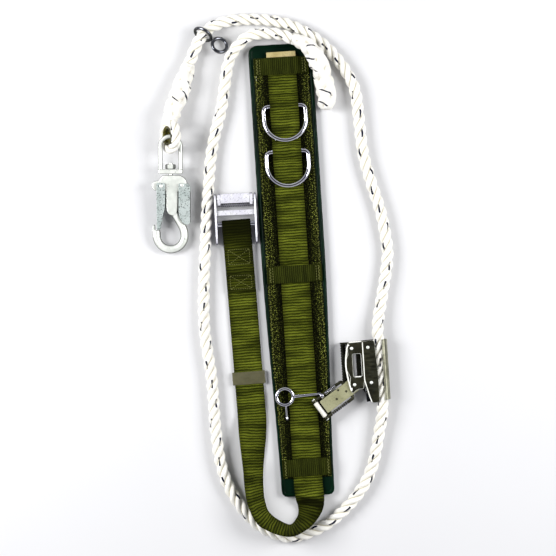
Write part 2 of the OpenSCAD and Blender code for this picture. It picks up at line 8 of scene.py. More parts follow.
import bpy
import numpy as np
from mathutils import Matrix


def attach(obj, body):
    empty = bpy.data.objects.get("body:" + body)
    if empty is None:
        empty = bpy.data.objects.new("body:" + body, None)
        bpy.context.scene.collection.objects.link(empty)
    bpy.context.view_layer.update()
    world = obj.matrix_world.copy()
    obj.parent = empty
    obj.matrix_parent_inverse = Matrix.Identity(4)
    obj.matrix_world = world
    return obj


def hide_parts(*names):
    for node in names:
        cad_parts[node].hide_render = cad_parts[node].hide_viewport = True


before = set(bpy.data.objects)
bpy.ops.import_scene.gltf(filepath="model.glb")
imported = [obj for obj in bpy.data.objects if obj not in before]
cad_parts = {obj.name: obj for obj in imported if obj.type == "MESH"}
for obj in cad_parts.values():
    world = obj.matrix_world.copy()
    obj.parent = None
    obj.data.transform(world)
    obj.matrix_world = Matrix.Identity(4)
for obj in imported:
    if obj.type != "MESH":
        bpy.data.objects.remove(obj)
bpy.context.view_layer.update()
MM = 0.001

# ---------------------------------------------------------------- camera

VIEW_WIDTH = 0.834
LENS = 100
SENSOR = 36
camera_data = bpy.data.cameras.new("camera")
camera_data.lens = LENS
camera_data.sensor_width = SENSOR
camera = bpy.data.objects.new("camera", camera_data)
camera.location = (-0.0247, -0.0104, VIEW_WIDTH * LENS / SENSOR)
camera.rotation_euler = (0, 0, math.radians(-3.66))
bpy.context.scene.collection.objects.link(camera)
bpy.context.scene.camera = camera


# ---------------------------------------------------------------- mesh helpers


def unit(v):
    """Each vector divided by its own length."""
    return v / np.maximum(np.linalg.norm(v, axis=-1, keepdims=True), 1e-9)


def ease(t):
    """Smooth step: 3 t squared less 2 t cubed, with t held between 0 and 1."""
    t = np.clip(t, 0, 1)
    return t * t * (3 - 2 * t)


def turn_x(degrees):
    """Rotation matrix about X, from the angle's cosine and sine."""
    a = math.radians(degrees)
    return np.array([[1, 0, 0], [0, math.cos(a), -math.sin(a)], [0, math.sin(a), math.cos(a)]])


def turn_y(degrees):
    """Rotation matrix about Y."""
    a = math.radians(degrees)
    return np.array([[math.cos(a), 0, math.sin(a)], [0, 1, 0], [-math.sin(a), 0, math.cos(a)]])


def turn_z(degrees):
    """Rotation matrix about Z."""
    a = math.radians(degrees)
    return np.array([[math.cos(a), -math.sin(a), 0], [math.sin(a), math.cos(a), 0], [0, 0, 1]])


class Place:
    """A frame of its own for one fitting: points are turned by a matrix, then moved to a spot."""

    def __init__(self, spot=(0, 0, 0), turn=None):
        self.spot = np.array(spot, float)
        self.turn = np.eye(3) if turn is None else turn

    def put(self, points):
        """Points stated in this frame, in row millimetres."""
        return np.asarray(points, float) @ self.turn.T + self.spot

    def inside(self, spot, turn=None):
        """A frame stated in this one."""
        return Place(self.put(spot), self.turn @ (np.eye(3) if turn is None else turn))


ROW = Place()


def grid_faces(rows, cols, round_rows, round_cols):
    """Quads joining each point of a rows by cols grid to the next; a round direction joins last to first."""
    i = np.arange(rows if round_rows else rows - 1)
    j = np.arange(cols if round_cols else cols - 1)
    i, j = [a.ravel() for a in np.meshgrid(i, j, indexing="ij")]
    k, m = (i + 1) % rows, (j + 1) % cols
    return np.stack([i * cols + j, k * cols + j, k * cols + m, i * cols + m], -1), i, j


def volume(points, faces):
    """Signed volume of a closed mesh: the sum of the tetrahedra from the middle to each face."""
    p = points - points.mean(0)
    total = 0.0
    for f in faces:
        a = p[f[:, 0]]
        for n in range(1, f.shape[1] - 1):
            total += np.einsum("ij,ij->i", a, np.cross(p[f[:, n]], p[f[:, n + 1]])).sum()
    return total


def mesh_piece(name, points, faces, body, material, stands_for=(), uv=None, sharp=30):
    """An object at the origin from points in mm and blocks of faces, smooth but at edges over an angle.

    It rides on a body, and stands for the CAD nodes that are named."""
    if volume(points, faces) < 0:
        faces = [f[:, ::-1] for f in faces]
        uv = None if uv is None else [u[:, ::-1] for u in uv]
    sizes = np.concatenate([np.full(len(f), f.shape[1]) for f in faces])
    corners = np.concatenate([f.ravel() for f in faces]).astype(np.int32)
    mesh = bpy.data.meshes.new(name)
    mesh.vertices.add(len(points))
    mesh.vertices.foreach_set("co", (np.asarray(points) * MM).astype(np.float32).ravel())
    mesh.loops.add(len(corners))
    mesh.loops.foreach_set("vertex_index", corners)
    mesh.polygons.add(len(sizes))
    starts = np.concatenate([[0], np.cumsum(sizes)[:-1]]).astype(np.int32)
    mesh.polygons.foreach_set("loop_start", starts)
    mesh.update(calc_edges=True)
    if uv is not None:
        layer = mesh.uv_layers.new(name="surface")
        flat = np.concatenate([u.reshape(-1, 2) for u in uv])
        layer.data.foreach_set("uv", flat.astype(np.float32).ravel())
    mesh.polygons.foreach_set("use_smooth", np.ones(len(sizes), bool))
    if sharp < 180:
        mesh.set_sharp_from_angle(angle=math.radians(sharp))
    mesh.validate()
    piece = bpy.data.objects.new(name, mesh)
    bpy.context.scene.collection.objects.link(piece)
    mesh.materials.append(material)
    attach(piece, body)
    if stands_for:
        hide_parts(*stands_for)
    return piece


def grid_parts(points, round_rows=False, round_cols=True, poles=True, uv=None):
    """Points, face blocks and corner UVs of a grid surface; open round ends are closed with a pole point."""
    rows, cols = points.shape[:2]
    faces, i, j = grid_faces(rows, cols, round_rows, round_cols)
    flat = points.reshape(-1, 3)
    blocks = [faces]
    if uv is None:
        u, v = np.meshgrid(np.arange(cols + 1) / cols, np.arange(rows + 1) / rows)
        uv = np.stack([u, v], -1)
    maps = [np.stack([uv[i, j], uv[i + 1, j], uv[i + 1, j + 1], uv[i, j + 1]], 1)]
    if poles and not round_rows and round_cols:
        n = np.arange(cols)
        for row, tip in ((0, len(flat)), (rows - 1, len(flat) + 1)):
            ring = row * cols + n
            after = row * cols + (n + 1) % cols
            fan = np.stack([ring, after, np.full(cols, tip)], -1)
            fan_uv = np.stack([uv[row, n], uv[row, n + 1], (uv[row, n] + uv[row, n + 1]) / 2], 1)
            if row == 0:
                fan, fan_uv = fan[:, [1, 0, 2]], fan_uv[:, [1, 0, 2]]
            blocks.append(fan[:, ::-1])
            maps.append(fan_uv[:, ::-1])
        flat = np.concatenate([flat, points[0].mean(0)[None], points[-1].mean(0)[None]])
    return flat, blocks, maps


def joined(parts):
    """Several sets of grid parts as one set, each wound so that its faces point outwards."""
    points, blocks, maps, start = [], [], [], 0
    for p, b, m in parts:
        if volume(p, b) < 0:
            b = [f[:, ::-1] for f in b]
            m = [u[:, ::-1] for u in m]
        points.append(p)
        blocks += [f + start for f in b]
        maps += m
        start += len(p)
    return np.concatenate(points), blocks, maps


def build(name, parts, body, material, stands_for=(), sharp=30):
    """One piece from several grid surfaces."""
    points, blocks, maps = joined(parts)
    return mesh_piece(name, points, blocks, body, material, stands_for, maps, sharp)


STEPS_BETWEEN = 8


def curve_through(route):
    """Catmull-Rom curve through a route's rows: each stretch is a cubic shaped by the four nearest rows."""
    route = np.array(route, float)
    last = len(route) - 1
    t = np.arange(last * STEPS_BETWEEN + 1) / STEPS_BETWEEN
    i = np.minimum(t.astype(int), last - 1)
    f = (t - i)[:, None]
    a, b, c, d = route[np.maximum(0, i - 1)], route[i], route[i + 1], route[np.minimum(last, i + 2)]
    return 0.5 * (2 * b + (c - a) * f + (2 * a - 5 * b + 4 * c - d) * f**2 + (3 * b - 3 * c + d - a) * f**3)


def length_along(line):
    """Distance run at each point of a line: the running sum of its steps, from 0 at its start."""
    return np.concatenate([[0], np.cumsum(np.linalg.norm(np.diff(line[:, :3], axis=0), axis=1))])


def evenly(line, step):
    """The same line resampled at even steps along its length; further columns are carried along."""
    s = length_along(line)
    at = np.linspace(0, s[-1], max(2, int(round(s[-1] / step)) + 1))
    return np.stack([np.interp(at, s, line[:, k]) for k in range(line.shape[1])], -1), at


def axes_along(line, up=(0, 0, 1), closed=False):
    """Side and up directions at each point of a line: side is up crossed with the tangent."""
    if closed:
        along = unit(np.roll(line, -1, 0) - np.roll(line, 1, 0))
    else:
        along = unit(np.gradient(line, axis=0))
    side = unit(np.cross(np.asarray(up, float), along))
    return along, side, np.cross(along, side)


def tube(line, radius, sides=16, closed=False, up=(0, 0, 1), flat=1.0):
    """Round bar carried along a line: a circle of the radius in each point's side and up plane."""
    line = np.asarray(line, float)
    _, side, rise = axes_along(line, up, closed)
    a = np.arange(sides) * 2 * np.pi / sides
    r = np.broadcast_to(np.asarray(radius, float), (len(line),))[:, None, None]
    ring = np.cos(a)[None, :, None] * side[:, None] + flat * np.sin(a)[None, :, None] * rise[:, None]
    return grid_parts(line[:, None] + r * ring, round_rows=closed, poles=not closed)


def round_bar(line, radius, sides):
    """Bar with domed ends: the radius follows a quarter circle over the last stretch at each end."""
    line, at = evenly(np.asarray(line, float), radius / 4)
    left = np.minimum(at, at[-1] - at)
    r = radius * np.sqrt(np.clip(1 - (1 - np.clip(left / (radius * 0.5), 0.02, 1)) ** 2, 0, 1))
    return tube(line, r, sides)


def arc_line(centre, radius, start, end, steps=24, axis_a=(1, 0, 0), axis_b=(0, 1, 0)):
    """Points of a circle's arc: centre plus radius times cosine and sine along two axes."""
    a = np.radians(np.linspace(start, end, steps + 1))[:, None]
    return np.asarray(centre, float) + radius * (np.cos(a) * np.array(axis_a) + np.sin(a) * np.array(axis_b))


def rounded(corners, radius, steps=5):
    """Outline with each corner replaced by a quadratic bend that starts the radius before it."""
    corners = np.array(corners, float)
    r = np.broadcast_to(np.asarray(radius, float), (len(corners),))
    out = []
    for n, p in enumerate(corners):
        before, after = corners[n - 1], corners[(n + 1) % len(corners)]
        d0, d1 = np.linalg.norm(before - p), np.linalg.norm(after - p)
        k = min(r[n], 0.49 * d0, 0.49 * d1)
        a, b = p + (before - p) * k / d0, p + (after - p) * k / d1
        t = np.linspace(0, 1, steps + 1)[:, None]
        out.append(a * (1 - t) ** 2 + 2 * p * t * (1 - t) + b * t**2)
    return np.concatenate(out)


def around(outline, count, start_angle=None, centre=None):
    """A closed outline resampled to a count of points, evenly by length or evenly by angle about a centre."""
    loop = np.vstack([outline, outline[:1]])
    if centre is None:
        s = length_along(loop)
        at = np.arange(count) * s[-1] / count
        return np.stack([np.interp(at, s, loop[:, k]) for k in range(2)], -1)
    a = np.unwrap(np.arctan2(*(loop - centre).T[::-1]))
    if a[-1] < a[0]:
        a, loop = a[::-1], loop[::-1]
    at = a[0] + np.mod(np.radians(start_angle) + np.arange(count) * 2 * np.pi / count - a[0], 2 * np.pi)
    return np.stack([np.interp(at, a, loop[:, k]) for k in range(2)], -1)


def outward_normals(loop):
    """Unit normals of a closed outline: the step between a point's neighbours, turned to face out."""
    step = np.roll(loop, -1, 0) - np.roll(loop, 1, 0)
    normal = unit(np.stack([step[:, 1], -step[:, 0]], -1))
    return -normal if np.sum(normal * (loop - loop.mean(0))) < 0 else normal


def windowed_plate(outline, hole, low, high, place, bevel, count):
    """Flat plate with a window: a rounded edge profile carried round the outline and in to the window's edge.

    The profile goes up the side, round a quarter bend, across, and down the window's wall."""
    middle = np.mean(hole, axis=0)
    outer = around(outline, count, 0, middle)
    inner = around(hole, count, 0, middle)
    normal, inward = outward_normals(outer), outward_normals(inner)
    bend = np.radians(np.linspace(0, 90, 4))
    rows = []
    for a in bend:
        rows.append((outer - normal * bevel * (1 - math.cos(a)), high - bevel * (1 - math.sin(a))))
    rows.append((inner + inward * bevel, high))
    for a in bend[::-1][1:]:
        rows.append((inner + inward * bevel * (1 - math.cos(a)), high - bevel * (1 - math.sin(a))))
    for a in bend:
        rows.append((inner + inward * bevel * (1 - math.cos(a)), low + bevel * (1 - math.sin(a))))
    for a in bend[::-1]:
        rows.append((outer - normal * bevel * (1 - math.cos(a)), low + bevel * (1 - math.sin(a))))
    grid = np.stack([np.column_stack([xy, np.full(len(xy), z)]) for xy, z in rows])
    return grid_parts(place.put(grid), round_rows=True, poles=False)


def turned(profile, place=ROW, sides=48):
    """Lathe piece: rows of radius and height turned about the place's Z, with pole points at the ends."""
    profile = np.array(profile, float)
    a = np.arange(sides) * 2 * np.pi / sides
    r = profile[:, :1]
    grid = np.stack([r * np.cos(a), r * np.sin(a), np.repeat(profile[:, 1:2], sides, 1)], -1)
    return grid_parts(place.put(grid))


# ---------------------------------------------------------------- material helpers


class Paint:
    """A node material with a Principled shader, and short ways to add nodes to it."""

    def __init__(self, name, colour, rough, metal=0.0):
        self.material = bpy.data.materials.new(name)
        self.material.use_nodes = True
        self.tree = self.material.node_tree
        self.shader = self.tree.nodes["Principled BSDF"]
        self.set("Base Color", (*colour, 1))
        self.set("Roughness", rough)
        self.set("Metallic", metal)

    def set(self, socket, value):
        """Links a node's output to one of the shader's sockets, or sets a constant there."""
        if isinstance(value, bpy.types.NodeSocket):
            self.tree.links.new(value, self.shader.inputs[socket])
        else:
            self.shader.inputs[socket].default_value = value

    def node(self, kind, inputs=(), **settings):
        """New node with its settings, and its inputs linked or set."""
        made = self.tree.nodes.new(kind)
        for key, value in settings.items():
            setattr(made, key, value)
        for key, value in dict(inputs).items():
            if isinstance(value, bpy.types.NodeSocket):
                self.tree.links.new(value, made.inputs[key])
            else:
                made.inputs[key].default_value = value
        return made

    def place(self, kind="Object"):
        """Object coordinates in metres, or the piece's own UV map."""
        if kind == "Object":
            return self.node("ShaderNodeTexCoord").outputs["Object"]
        return self.node("ShaderNodeUVMap", uv_map="surface").outputs["UV"]

    def math(self, operation, a, b=0.0, c=None):
        """One arithmetic step on two or three values."""
        inputs = {0: a, 1: b}
        if c is not None:
            inputs[2] = c
        return self.node("ShaderNodeMath", inputs, operation=operation).outputs[0]

    def noise(self, where, scale, detail=3.0, roughness=0.55):
        """Cloudy value about 0.5, with the scale in cells per metre."""
        inputs = {"Vector": where, "Scale": scale, "Detail": detail, "Roughness": roughness}
        return self.node("ShaderNodeTexNoise", inputs).outputs["Fac"]

    def stretch(self, where, scale):
        """Coordinates times a scale for each axis."""
        inputs = {"Vector": where, "Scale": scale}
        return self.node("ShaderNodeMapping", inputs).outputs["Vector"]

    def ramp(self, value, stops):
        """Colour ramp through rows of place and colour."""
        made = self.node("ShaderNodeValToRGB", {"Fac": value})
        elements = made.color_ramp.elements
        while len(elements) < len(stops):
            elements.new(0.5)
        for element, (spot, colour) in zip(elements, stops):
            element.position = spot
            element.color = (*colour, 1) if len(colour) == 3 else colour
        return made.outputs["Color"]

    def grade(self, value, low, high, to_low=0.0, to_high=1.0):
        """A value mapped from one range to another, held inside it."""
        inputs = {"Value": value, "From Min": low, "From Max": high, "To Min": to_low, "To Max": to_high}
        return self.node("ShaderNodeMapRange", inputs, clamp=True).outputs["Result"]

    def mix(self, fac, a, b):
        """Colour between a and b by a share."""
        made = self.node("ShaderNodeMix", data_type="RGBA")
        for key, value in ((0, fac), (6, a), (7, b)):
            if isinstance(value, bpy.types.NodeSocket):
                self.tree.links.new(value, made.inputs[key])
            else:
                made.inputs[key].default_value = (*value, 1) if key and len(value) == 3 else value
        return made.outputs[2]

    def split(self, where):
        """The three coordinates of a place, each as a value."""
        made = self.node("ShaderNodeSeparateXYZ", {"Vector": where})
        return made.outputs[0], made.outputs[1], made.outputs[2]

    def bump(self, height, distance, strength=1.0):
        """Bump whose height of 0 to 1 stands for the distance in metres."""
        inputs = {"Height": height, "Distance": distance, "Strength": strength}
        self.set("Normal", self.node("ShaderNodeBump", inputs).outputs["Normal"])


def rgb(code):
    """Linear colour from a hex code: each channel's sRGB value raised by the display curve."""
    values = [int(code[n : n + 2], 16) / 255 for n in (1, 3, 5)]
    return tuple(v / 12.92 if v <= 0.04045 else ((v + 0.055) / 1.055) ** 2.4 for v in values)


# ---------------------------------------------------------------- rope

LAY = 48.0
ROPE_R = 9.0
ROPE_SIDES = 36
YARNS_AROUND = 46
TRACER_PITCH = 29.0
STRANDS = 3
STRAND_OFFSET = 0.48
STRAND_R = 0.52


def rope_paint():
    """Ivory filament strands: fine yarn lines along the rope, shade in the grooves, short navy tracer yarns.

    A tracer is a short dash on one strand, moved from cell to cell along the rope by a sine."""
    p = Paint("rope ivory", rgb("#f4f1e6"), 0.8)
    p.set("Specular IOR Level", 0.2)
    # u counts turns about the strand lay, v is metres along the rope
    u, v, _ = p.split(p.place("UV"))
    turns = p.math("ADD", u, p.math("MULTIPLY", v, 1000 / LAY))
    around_rope = p.math("FRACT", turns)
    wobble = p.noise(p.place(), 260.0, 2.0)
    slip = p.math("MULTIPLY", wobble, 7.0)
    yarns = p.math("SINE", p.math("MULTIPLY_ADD", around_rope, 2 * math.pi * YARNS_AROUND, slip))
    hollow = p.node("ShaderNodeAttribute", attribute_name="hollow").outputs["Fac"]
    shade = p.grade(hollow, 0.35, 1.0)
    tone = p.mix(shade, rgb("#fbf9f2"), rgb("#c9c2a6"))
    tone = p.mix(p.grade(p.noise(p.place(), 45.0, 3.0), 0.45, 0.8, 0.0, 0.35), tone, rgb("#efe9d2"))
    marks = None
    for shift, spread, spot, length in ((0.0, 2.39, 0.25, 0.44), (0.37, 1.71, 0.75, 0.3)):
        row = p.math("ADD", p.math("MULTIPLY", v, 1000 / TRACER_PITCH), shift)
        cell = p.math("FLOOR", row)
        inside = p.math("SUBTRACT", p.math("FRACT", row), 0.5)
        sway = p.math("MULTIPLY", p.math("SINE", p.math("MULTIPLY", cell, spread)), 0.13)
        lean = p.math("MULTIPLY", inside, 0.05)
        centre = p.math("ADD", p.math("ADD", sway, lean), spot)
        away = p.math("ABSOLUTE", p.math("SUBTRACT", around_rope, centre))
        across = p.math("LESS_THAN", away, 0.027)
        along = p.math("LESS_THAN", p.math("ABSOLUTE", inside), length / 2)
        mark = p.math("MULTIPLY", across, along)
        marks = mark if marks is None else p.math("MAXIMUM", marks, mark)
    marks = p.math("MULTIPLY", marks, p.grade(hollow, 0.5, 0.9, 1.0, 0.2))
    p.set("Base Color", p.mix(marks, tone, rgb("#10142c")))
    p.bump(p.math("MULTIPLY_ADD", yarns, 0.5, 0.5), 0.0003, 0.8)
    return p.material


ROPE = rope_paint()


def strand_wave(phase):
    """Height of strands side by side: the far side of the nearest strand's circle, as a share of the rope."""
    span = np.pi / STRANDS
    a = np.mod(phase + span, 2 * span) - span
    chord = np.maximum(STRAND_R**2 - (STRAND_OFFSET * np.sin(a)) ** 2, 0.004)
    return STRAND_OFFSET * np.cos(a) + np.sqrt(chord)


def ring_about(angle, side, rise):
    """Directions round a line: cosine of the angle along its side and sine along its rise."""
    return np.cos(angle)[..., None] * side[:, None] + np.sin(angle)[..., None] * rise[:, None]


def rope_map(sides, s):
    """UV of a rope: u is the share of a turn, v is metres along it."""
    u, v = np.meshgrid(np.arange(sides + 1) / sides, np.append(s, s[-1]) * MM)
    return np.stack([u, v], -1)


def laid_rope(line, radius):
    """Three-strand rope: the strand outline carried along a line and turned once for each lay length."""
    _, side, rise = axes_along(line[:, :3])
    s = length_along(line)
    phase = np.arange(ROPE_SIDES) * 2 * np.pi / ROPE_SIDES
    angle = phase[None] + 2 * np.pi * s[:, None] / LAY
    r = np.full((len(line), 1), radius) * strand_wave(phase)[None]
    grid = line[:, None, :3] + r[..., None] * ring_about(angle, side, rise)
    return grid_parts(grid, uv=rope_map(ROPE_SIDES, s))


ROPE_ROUTE = [
    (-136, 318, 11.5), (-125, 341, 13.6), (-113, 359, 15), (-97, 370.5, 13.2), (-69, 378, 9.2),
    (-31, 377, 9), (5, 370, 9), (37, 355, 9), (60, 338, 9), (78, 319, 9), (96, 292, 9), (108, 262, 9),
    (111, 221, 9), (114, 168, 9), (122, 128, 9), (135, 76, 9), (141, 24, 9), (137, -10, 9),
    (128, -50, 9.2), (120, -85, 12), (118.5, -105, 13.5), (118.5, -158, 13.5), (118.5, -214, 13.5),
    (113, -242, 11), (98, -300, 9), (75, -339, 9), (40, -372, 9), (6, -390, 9), (-33, -397.5, 9),
    (-72, -381, 9), (-98, -353, 9), (-116, -321, 9), (-127, -285, 9), (-132, -232, 9), (-133, -155, 9),
    (-139, -82, 9), (-136, -15, 9), (-129, 52, 9), (-122.5, 110, 9), (-111, 187, 9), (-93, 247, 9),
    (-86, 280, 9.4), (-75, 322, 12), (-53, 347, 16.5), (-35, 353.5, 19.3), (-4, 352, 20), (19, 343.5, 20.6),
]
rope_line, rope_at = evenly(curve_through(ROPE_ROUTE), 2.0)
rope = build("lanyard_rope", [laid_rope(rope_line, ROPE_R)], "belt", ROPE, ["rope"], sharp=180)


# ---------------------------------------------------------------- woven and padded paints


TWILL_ACROSS = 6200.0
TWILL_ALONG = 2600.0
PICKS_ALONG = 7800.0
RIB_PITCH = 4.15
KEEPER_RIB_PITCH = 3.0
FACING_PITCH = 3.1


def belt_shade(p, u, tone):
    """Painted shade: darker towards the strap's edges, on the doubled run at the buckle, on the underside of
    the loop, and in the fold where the loop starts.

    The fold is a band beside a line that slopes a quarter of a metre per metre across the strap."""
    # painted shade: the strap darkened towards both edges
    edge = p.grade(p.math("ABSOLUTE", u), 0.0125, 0.0212)
    tone = p.mix(p.math("MULTIPLY", edge, 0.5), tone, rgb("#0c0d02"))
    x, y, _ = p.split(p.place())
    # painted shade: the doubled run near the buckle, deeper towards the flat bar, the loop's underside and
    # the fold where it turns over
    doubled = p.math("MULTIPLY", p.math("LESS_THAN", x, -0.055), p.grade(y, -0.0285, -0.0268))
    painted_shade = p.math("MULTIPLY", doubled, p.grade(y, 0.035, 0.068, 0.62, 0.95))
    loop = p.math("MULTIPLY", p.grade(y, -0.343, -0.348), p.grade(x, -0.06, -0.03, 0.0, 0.55))
    slope = p.math("MULTIPLY_ADD", x, -0.25, p.math("MULTIPLY", y, -1.0))
    fold = p.grade(p.math("ABSOLUTE", p.math("SUBTRACT", slope, 0.3465)), 0.009, 0.005)
    fold = p.math("MULTIPLY", fold, p.grade(x, -0.035, -0.01, 0.0, 0.9))
    painted_shade = p.math("MAXIMUM", painted_shade, p.math("MAXIMUM", loop, fold))
    return p.mix(painted_shade, tone, rgb("#080900"))


def webbing_paint(name, dark, mid, light, pitch, belt=True):
    """Ribbed webbing: pale rib crests over dark grooves, and a fine diagonal twill on each rib."""
    p = Paint(name, rgb(mid), 0.8)
    p.set("Specular IOR Level", 0.03)
    u, v, _ = p.split(p.place("UV"))
    drift = p.noise(p.place("UV"), 55.0, 2.0)
    slip = p.math("MULTIPLY", p.math("SUBTRACT", drift, 0.5), 0.9)
    rib = p.math("ADD", p.math("MULTIPLY", v, 1000 / pitch), slip)
    crest = p.math("ABSOLUTE", p.math("COSINE", p.math("MULTIPLY", rib, math.pi)))
    twill = p.math("SINE", p.math("MULTIPLY_ADD", u, TWILL_ACROSS, p.math("MULTIPLY", v, TWILL_ALONG)))
    pick = p.math("SINE", p.math("MULTIPLY", v, PICKS_ALONG))
    weave = p.math("MULTIPLY_ADD", p.math("MULTIPLY", twill, pick), 0.5, 0.5)
    # patch: broad random brightness along the webbing, painted light and shade of wrinkles
    patch = p.noise(p.stretch(p.place("UV"), (16, 75, 1)), 1.0, 3.0, 0.55)
    bright = p.math("MULTIPLY", p.grade(crest, 0.0, 1.0, 0.36, 1.0), p.grade(patch, 0.32, 0.68, 0.55, 1.05))
    bright = p.math("MULTIPLY", bright, p.grade(weave, 0.0, 1.0, 0.5, 1.25))
    tone = p.ramp(bright, ((0.0, rgb(dark)), (0.45, rgb(mid)), (1.0, rgb(light))))
    if belt:
        tone = belt_shade(p, u, tone)
    p.set("Base Color", tone)
    p.bump(p.math("MULTIPLY_ADD", weave, 0.35, p.math("MULTIPLY", crest, 0.65)), 0.00035, 0.9)
    return p.material


def facing_paint():
    """Dark olive webbing with a broken herringbone: slanting picks that change side every 5 mm, some pale.

    Two bands of painted shadow lie beside the belt strap, which stands above the facing."""
    p = Paint("facing webbing", rgb("#30320c"), 0.85)
    p.set("Specular IOR Level", 0.03)
    u, v, _ = p.split(p.place("UV"))
    zig = p.math("PINGPONG", u, 0.0052)
    row = p.math("MULTIPLY", p.math("ADD", v, zig), 1000 / FACING_PITCH)
    pick = p.math("POWER", p.math("ABSOLUTE", p.math("SINE", p.math("MULTIPLY", row, math.pi))), 2.0)
    yarn = p.math("ABSOLUTE", p.math("SINE", p.math("MULTIPLY", u, math.pi / 0.0026)))
    flecks = p.noise(p.place("UV"), 520.0, 1.0)
    patches = p.noise(p.stretch(p.place("UV"), (60, 22, 1)), 1.0, 3.0, 0.6)
    height = p.math("MULTIPLY", pick, yarn)
    pale = p.math("MULTIPLY", p.grade(height, 0.1, 0.6), p.grade(flecks, 0.52, 0.62))
    pale = p.math("MULTIPLY", pale, p.grade(patches, 0.36, 0.62, 0.3, 1.0))
    tone = p.ramp(height, ((0.0, rgb("#040600")), (1.0, rgb("#131705"))))
    tone = p.mix(pale, tone, rgb("#9da549"))
    # painted shadow: dark bands beside the strap's edges, fading out 31.5 mm from its middle
    beside = p.math("ABSOLUTE", p.math("SUBTRACT", p.split(p.place())[0], 0.0008))
    shade = p.math("MULTIPLY", p.grade(beside, 0.0315, 0.027), 0.85)
    p.set("Base Color", p.mix(shade, tone, rgb("#040500")))
    p.bump(height, 0.0005, 0.9)
    return p.material


def vinyl_paint(name, dark, light, rough):
    """Coated cloth: dark green with a fine pebbled grain and a slight cloudiness."""
    p = Paint(name, rgb(dark), rough)
    p.set("Specular IOR Level", 0.05)
    cloud = p.noise(p.place(), 22.0, 4.0)
    p.set("Base Color", p.mix(p.grade(cloud, 0.35, 0.75), rgb(dark), rgb(light)))
    grain = p.noise(p.place(), 1400.0, 2.0)
    crease = p.noise(p.stretch(p.place(), (90, 30, 90)), 1.0, 4.0)
    p.bump(p.math("MULTIPLY_ADD", grain, 0.15, p.math("MULTIPLY", crease, 0.85)), 0.0006, 0.5)
    return p.material


def thread_paint(name, colour):
    """Sewing thread: fine noise between two olive tones."""
    p = Paint(name, rgb(colour), 0.6)
    where = p.stretch(p.place(), (1800, 1800, 1800))
    p.set("Base Color", p.mix(p.noise(where, 1.0, 1.0), rgb(colour), rgb("#6b6a3a")))
    return p.material


WEBBING = webbing_paint("belt webbing", "#0b0d01", "#232804", "#727b24", RIB_PITCH)
KEEPER_WEBBING = webbing_paint("keeper webbing", "#090a01", "#181c04", "#3f4514", KEEPER_RIB_PITCH, False)
FACING = facing_paint()
VINYL = vinyl_paint("green vinyl", "#04110a", "#0a2015", 0.28)
BINDING = vinyl_paint("green binding", "#020f07", "#062314", 0.28)
THREAD = thread_paint("olive thread", "#70762a")
PALE_THREAD = thread_paint("pale thread", "#d9d7b8")


# ---------------------------------------------------------------- straps and stitches


def flat_section(count=17, power=26):
    """Half width and half thickness shares round a flat strap.

    The thickness is the root of one less a high power of the width."""
    a = np.sin(np.linspace(-np.pi / 2, np.pi / 2, count))
    b = np.sqrt(np.clip(1 - np.abs(a) ** power, 0, 1))
    return np.concatenate([a, a[-2:0:-1]]), np.concatenate([b, -b[-2:0:-1]])


def strap(stations, width, thick, pitch, step, groove):
    """Ribbed strap carried through stations of x, y, z, heading of its outer edge and lift of that edge.

    The thickness falls by the groove depth between ribs, which are the absolute cosine of the length."""
    line, at = evenly(curve_through(stations), step)
    along = unit(np.gradient(line[:, :3], axis=0))
    h, lift = np.radians(line[:, 3]), np.radians(line[:, 4])
    wide = np.stack([np.cos(h) * np.cos(lift), np.sin(h) * np.cos(lift), np.sin(lift)], -1)
    face = unit(np.cross(along, wide))
    across = np.cross(face, along)
    a, b = flat_section()
    rib = np.abs(np.cos(np.pi * at / pitch))[:, None]
    half = thick / 2 - groove * (1 - rib) * (np.abs(a) < 0.97)
    edge = width / 2 - 0.25 * (1 - rib)
    grid = line[:, None, :3] + (edge * a)[..., None] * across[:, None] + (half * b)[..., None] * face[:, None]
    u = np.append(a, a[0]) * width / 2 * MM
    v = np.append(at, at[-1]) * MM
    u, v = np.meshgrid(u, v)
    return grid_parts(grid, uv=np.stack([u, v], -1))


def stitches(centres, ways, length, radius):
    """Thread stitches: short arched spindles at centres and along ways.

    A stitch's radius is the root of a half sine along its length, and it is highest in its middle."""
    centres, ways = np.asarray(centres, float), unit(np.asarray(ways, float))
    up = np.broadcast_to(np.array([0, 0, 1.0]), centres.shape)
    side = unit(np.cross(up, ways))
    t = np.linspace(0.04, 0.96, 5)
    a = np.arange(6) * np.pi / 3
    r = radius * np.sin(np.pi * t) ** 0.5
    arch = 0.35 * np.sin(np.pi * t) - 0.2
    ring_side, ring_up = r[:, None] * np.cos(a), r[:, None] * np.sin(a) + arch[:, None]
    body = (t - 0.5)[:, None, None] * length * np.ones((5, 6, 1))
    parts = []
    for c, w, s, n in zip(centres, ways, side, up):
        parts.append(grid_parts(c + body * w + ring_side[..., None] * s + ring_up[..., None] * n))
    return parts


THREAD_R = 0.42


def seam(corners, pitch, length, radius=THREAD_R):
    """Stitches spaced evenly along a line of corner points."""
    line, _ = evenly(np.asarray(corners, float), pitch)
    middles = (line[1:] + line[:-1]) / 2
    return stitches(middles, line[1:] - line[:-1], length, radius)


def zigzag(start, end, swing, count):
    """Zigzag seam: stitches between points that step from side to side of the line from start to end."""
    start, end = np.asarray(start, float), np.asarray(end, float)
    t = np.linspace(0, 1, count + 1)[:, None]
    flat = unit(np.cross([0, 0, 1.0], end - start))
    line = start + (end - start) * t + flat * swing * np.where(np.arange(count + 1) % 2, 1, -1)[:, None]
    gap = np.linalg.norm(line[1] - line[0])
    return stitches((line[1:] + line[:-1]) / 2, line[1:] - line[:-1], gap * 0.95, THREAD_R)


# ---------------------------------------------------------------- pad

HALF_LENGTH = 338.5
FACE_Z = 10.0
STRAP_Z = 12.0


def pad_half(y):
    """Half width of the pad: full over its upper half, easing to the lower end."""
    return 48 - 8.5 * ease((40 - y) / (HALF_LENGTH + 60))


